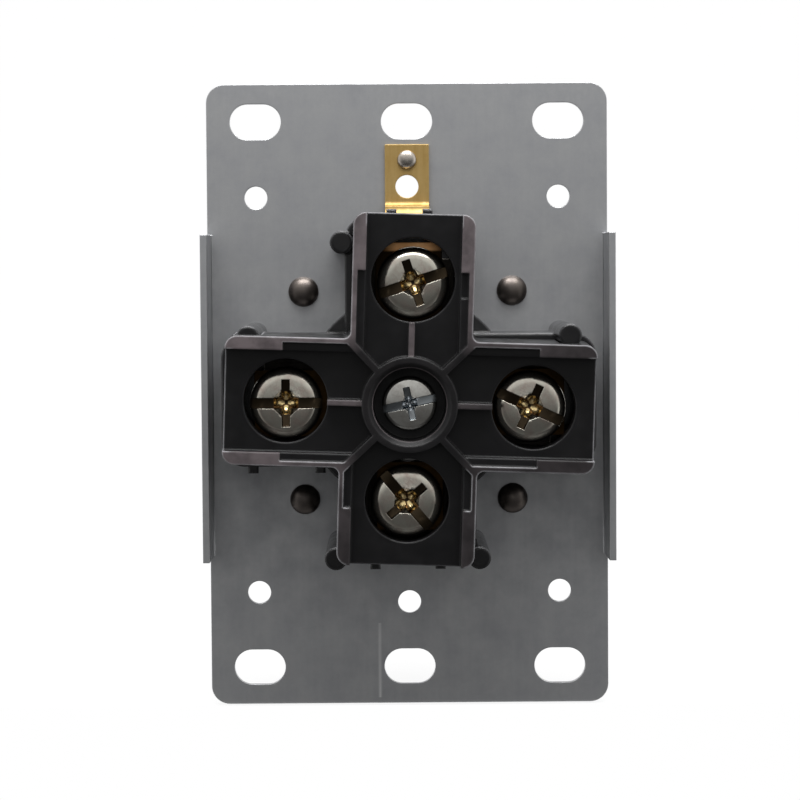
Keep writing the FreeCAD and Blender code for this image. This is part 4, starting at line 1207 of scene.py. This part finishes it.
@dataclass
class Screws:
    """The four terminal screws and the centre screw."""

    finishes: Finishes
    turns: Dict[Body, float] = field(default_factory=lambda: {
        Body.GROUND_SCREW: -18.0,
        Body.NEUTRAL_SCREW: 50.0,
        Body.LINE_X_SCREW: 0.0,
        Body.LINE_Y_SCREW: 25.0,
    })
    centre_turn: float = -12.0

    def build(self) -> None:
        """Make and place all five screws."""
        thread = ThreadTree()
        head = DriveHead(
            radius=5.2, height=2.8, crown_radius=4.0, crown_drop=0.25, shoulder=1.85, shoulder_drop=1.7,
            slot_width=1.55, slot_depth=1.5, cross_width=1.25, cross_span=6.8, cross_depth=1.6, mouth=5.2,
            core_depth=2.2, pit=1.8,
        )
        for body, turn in self.turns.items():
            Screw(body.value, body, "terminal_steel", head, turn, 2.4).build(thread, self.finishes.terminal)
        head = DriveHead(
            radius=3.9, height=2.5, crown_radius=3.9, crown_drop=0.4, shoulder=0.7, shoulder_drop=0.6,
            slot_width=1.2, slot_depth=1.2, cross_width=1.0, cross_span=4.8, cross_depth=1.3, mouth=3.0,
            core_depth=1.7, pit=1.1,
        )
        Screw("assembly_screw", Body.OUTLET, "zinc_steel", head, self.centre_turn, 2.0).build(
            thread, self.finishes.centre
        )


@dataclass
class Rivets:
    """The strap's four rivets and the small one through the bonding strip."""

    finishes: Finishes
    pitch: float = 31.75
    head: float = 2.3
    dome: float = 1.6
    shank: float = 1.3
    shank_length: float = 6.7
    foot_height: float = 0.9
    bond_rise: float = 35.8
    bond_level: float = 0.8
    bond_head: float = 1.45
    bond_dome: float = 0.8
    bond_shank: float = 0.85
    bond_length: float = 1.8
    rim: float = 0.25
    bond_rim: float = 0.15
    bond_foot: float = 0.01

    def build(self) -> None:
        """Set the rivets."""
        tree = RivetTree()
        half = self.pitch / 2
        spots = [(x * half, 0.0, z * half) for x in (-1, 1) for z in (-1, 1)]
        self.set_on(tree, "strap_rivets", spots, {
            "Head Radius": self.head * MM, "Dome Height": self.dome * MM, "Rim": self.rim * MM,
            "Shank Radius": self.shank * MM, "Shank Length": self.shank_length * MM,
            "Foot Radius": self.head * MM, "Foot Height": self.foot_height * MM,
            "Material": self.finishes.rivet,
        })
        self.set_on(tree, "bonding_rivet", [(0.0, self.bond_level, self.bond_rise)], {
            "Head Radius": self.bond_head * MM, "Dome Height": self.bond_dome * MM, "Rim": self.bond_rim * MM,
            "Shank Radius": self.bond_shank * MM, "Shank Length": self.bond_length * MM,
            "Foot Radius": self.bond_shank * MM, "Foot Height": self.bond_foot * MM,
            "Material": self.finishes.bond_rivet,
        })

    def set_on(
        self, tree: RivetTree, node: str, spots: Sequence[Point], values: Dict[str, Any]
    ) -> None:
        """Set one kind of rivet on its spots.

        Args:
            tree: The tree that sets rivets.
            node: The node that the rivets stand for.
            spots: Middle of each rivet's seat.
            values: The tree's inputs.
        """
        base = bpy.data.meshes.new(node + "_spots")
        base.from_pydata([tuple(c * MM for c in spot) for spot in spots], [], [])
        mesh = tree.run(base, node + "_dressed", values)
        mesh.set_sharp_from_angle(angle=SHARP_ANGLE)
        made = show(mesh, node + "_dressed")
        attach(made, Body.OUTLET.value)
        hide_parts(node)
        LOG.info("%s: %d faces", made.name, len(mesh.polygons))


@dataclass
class Housing:
    """The construction nodes, each with its finish."""

    finishes: Finishes

    def build(self) -> None:
        """Dress every node."""
        plan = {
            "mounting_strap": self.finishes.strap,
            "front_face": self.finishes.face,
            "face_insert": self.finishes.insert,
            "contact_carrier": self.finishes.carrier,
            "rear_cover": self.finishes.housing,
            "bonding_strip": self.finishes.strip,
            "strap_rivets": self.finishes.rivet,
            "bonding_rivet": self.finishes.bond_rivet,
            "assembly_screw": self.finishes.centre,
        }
        for name in ("ground", "neutral", "line_x", "line_y"):
            plan[name + "_contact"] = self.finishes.ground if name == "ground" else self.finishes.contact
            plan[name + "_spring"] = self.finishes.spring
            plan[name + "_clamp"] = self.finishes.clamp
            plan[name + "_screw"] = self.finishes.terminal
        for node, finish in plan.items():
            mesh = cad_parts[node].data
            mesh.materials.clear()
            mesh.materials.append(finish)
            LOG.info("%s: %s", node, finish.name)


@dataclass
class Studio:
    """Pale floor and backdrop, soft light from above, and the camera."""

    camera_at: Point = (2.6557, 399.5281, 19.3000)
    right: Point = (-0.99996966, 0.00379736, -0.00680122)
    up: Point = (-0.00698317, -0.05015747, 0.99871691)
    back: Point = (0.00345136, 0.9987341, 0.05018247)
    lens: float = 117.8037
    sensor: float = 36.0
    floor_level: float = -47.6
    floor_half: float = 1600.0
    sweep: Tuple[Tuple[float, float], ...] = (
        (0.5, 0.0), (-500.0, 0.0), (-620.0, 16.0), (-705.0, 62.0), (-755.0, 130.0), (-780.0, 240.0),
        (-780.0, 1500.0),
    )
    aim: Point = (0.0, 10.0, 0.0)
    softbox_at: Point = (0.0, 330.0, 620.0)
    softbox_size: Tuple[float, float] = (620.0, 380.0)
    softbox_power: float = 7.0
    catch_at: Point = (-10.0, 520.0, -10.0)
    catch_size: Tuple[float, float] = (24.0, 24.0)
    catch_power: float = 0.005

    def build(self) -> None:
        """Make the studio."""
        self.camera()
        self.world()
        self.lamps()
        self.floor()
        bpy.context.scene.view_settings.view_transform = "Standard"

    def camera(self) -> None:
        """Place the camera at the photograph's viewing angle."""
        data = bpy.data.cameras.new("camera")
        data.lens = self.lens
        data.sensor_width = self.sensor
        data.sensor_fit = "HORIZONTAL"
        data.clip_start = 0.01
        data.clip_end = 20.0
        made = bpy.data.objects.new("camera", data)
        bpy.context.scene.collection.objects.link(made)
        turn = Matrix((self.right, self.up, self.back)).transposed().to_4x4()
        made.matrix_world = Matrix.Translation(Vector(self.camera_at) * MM) @ turn
        bpy.context.scene.camera = made

    def world(self) -> None:
        """Light the room: white behind and above the object, dim behind the camera."""
        world = bpy.data.worlds.new("studio")
        bpy.context.scene.world = world
        world.use_nodes = True
        tree = world.node_tree
        tree.nodes.clear()
        way = add_node(tree, "ShaderNodeTexCoord")
        part = add_node(tree, "ShaderNodeSeparateXYZ", {0: way.outputs["Generated"]})
        above = add_node(
            tree, "ShaderNodeMapRange",
            {"Value": part.outputs["Z"], "From Min": -0.2, "From Max": 0.45, "To Min": 0.10, "To Max": 0.75},
            interpolation_type="SMOOTHSTEP",
        )
        behind = add_node(
            tree, "ShaderNodeMapRange",
            {"Value": part.outputs["Y"], "From Min": 0.85, "From Max": 0.35, "To Min": 0.0, "To Max": 0.95},
            interpolation_type="SMOOTHSTEP",
        )
        low = add_node(
            tree, "ShaderNodeMapRange",
            {"Value": part.outputs["Z"], "From Min": -0.7, "From Max": -0.15, "To Min": 0.15, "To Max": 1.0},
        )
        around = add_node(
            tree, "ShaderNodeMath", {0: behind.outputs[0], 1: low.outputs[0]}, operation="MULTIPLY"
        )
        level = add_node(
            tree, "ShaderNodeMath", {0: above.outputs[0], 1: around.outputs[0]}, operation="MAXIMUM"
        )
        ray = add_node(tree, "ShaderNodeLightPath")
        mirrored = add_node(
            tree, "ShaderNodeMath",
            {0: ray.outputs["Is Glossy Ray"], 1: ray.outputs["Is Transmission Ray"]}, operation="MAXIMUM",
        )
        backdrop = add_node(
            tree, "ShaderNodeMath", {0: mirrored.outputs[0], 1: around.outputs[0]}, operation="MULTIPLY"
        )
        seen = add_node(
            tree, "ShaderNodeMath",
            {0: ray.outputs["Is Camera Ray"], 1: backdrop.outputs[0]}, operation="MAXIMUM",
        )
        shown = add_node(
            tree, "ShaderNodeMix", {0: seen.outputs[0], 2: level.outputs[0], 3: 1.0}, data_type="FLOAT"
        )
        sky = add_node(tree, "ShaderNodeBackground", {"Color": WHITE, "Strength": shown.outputs[0]})
        add_node(tree, "ShaderNodeOutputWorld", {"Surface": sky.outputs[0]})

    def lamp(self, name: str, at: Point, size: Tuple[float, float], power: float) -> None:
        """Hang one softbox that faces the object.

        Args:
            name: The lamp's name.
            at: Its place.
            size: Its width and height.
            power: Its power in watts.
        """
        data = bpy.data.lights.new(name, "AREA")
        data.shape = "RECTANGLE"
        data.size, data.size_y = size[0] * MM, size[1] * MM
        data.energy = power
        made = bpy.data.objects.new(name, data)
        bpy.context.scene.collection.objects.link(made)
        made.location = Vector(at) * MM
        made.rotation_mode = "QUATERNION"
        made.rotation_quaternion = (Vector(self.aim) - Vector(at)).to_track_quat("-Z", "Y")

    def lamps(self) -> None:
        """Hang the overhead softbox, and a small lamp behind the camera that glints in the screws."""
        self.lamp("overhead_softbox", self.softbox_at, self.softbox_size, self.softbox_power)
        self.lamp("catch_light", self.catch_at, self.catch_size, self.catch_power)

    def floor(self) -> None:
        """Lay a pale sweep that starts at the strap's foot and curves up as a backdrop."""
        shape = bmesh.new()
        rows = []
        for y, z in self.sweep:
            level = z + self.floor_level
            sides = (-self.floor_half, self.floor_half)
            rows.append([shape.verts.new((x * MM, y * MM, level * MM)) for x in sides])
        for low, high in zip(rows, rows[1:]):
            shape.faces.new((low[0], low[1], high[1], high[0]))
        bmesh.ops.recalc_face_normals(shape, faces=shape.faces)
        for face in shape.faces:
            face.smooth = True
        mesh = bpy.data.meshes.new("sweep")
        shape.to_mesh(mesh)
        shape.free()
        sweep = show(mesh, "sweep")
        material = bpy.data.materials.new("white_paper_sweep")
        material.use_nodes = True
        tree = material.node_tree
        tree.nodes.clear()
        paper = add_node(tree, "ShaderNodeBsdfDiffuse", {"Color": linear("#f4f4f4")})
        glow = add_node(tree, "ShaderNodeEmission", {"Color": WHITE, "Strength": 1.0})
        ray = add_node(tree, "ShaderNodeLightPath")
        seen = add_node(
            tree, "ShaderNodeMath",
            {0: ray.outputs["Is Camera Ray"], 1: ray.outputs["Is Glossy Ray"]}, operation="MAXIMUM",
        )
        through = add_node(
            tree, "ShaderNodeMath",
            {0: seen.outputs[0], 1: ray.outputs["Is Transmission Ray"]}, operation="MAXIMUM",
        )
        share = add_node(tree, "ShaderNodeMath", {0: through.outputs[0], 1: 0.88}, operation="MULTIPLY")
        mixed = add_node(
            tree, "ShaderNodeMixShader", {0: share.outputs[0], 1: paper.outputs[0], 2: glow.outputs[0]}
        )
        add_node(tree, "ShaderNodeOutputMaterial", {"Surface": mixed.outputs[0]})
        mesh.materials.append(material)


def main() -> None:
    """Dress the outlet and set up the studio."""
    logging.basicConfig(level=logging.INFO, format="%(name)s: %(message)s")
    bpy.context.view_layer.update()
    finishes = Finishes()
    Housing(finishes).build()
    Screws(finishes).build()
    Rivets(finishes).build()
    Studio().build()


if __name__ == "__main__":
    main()
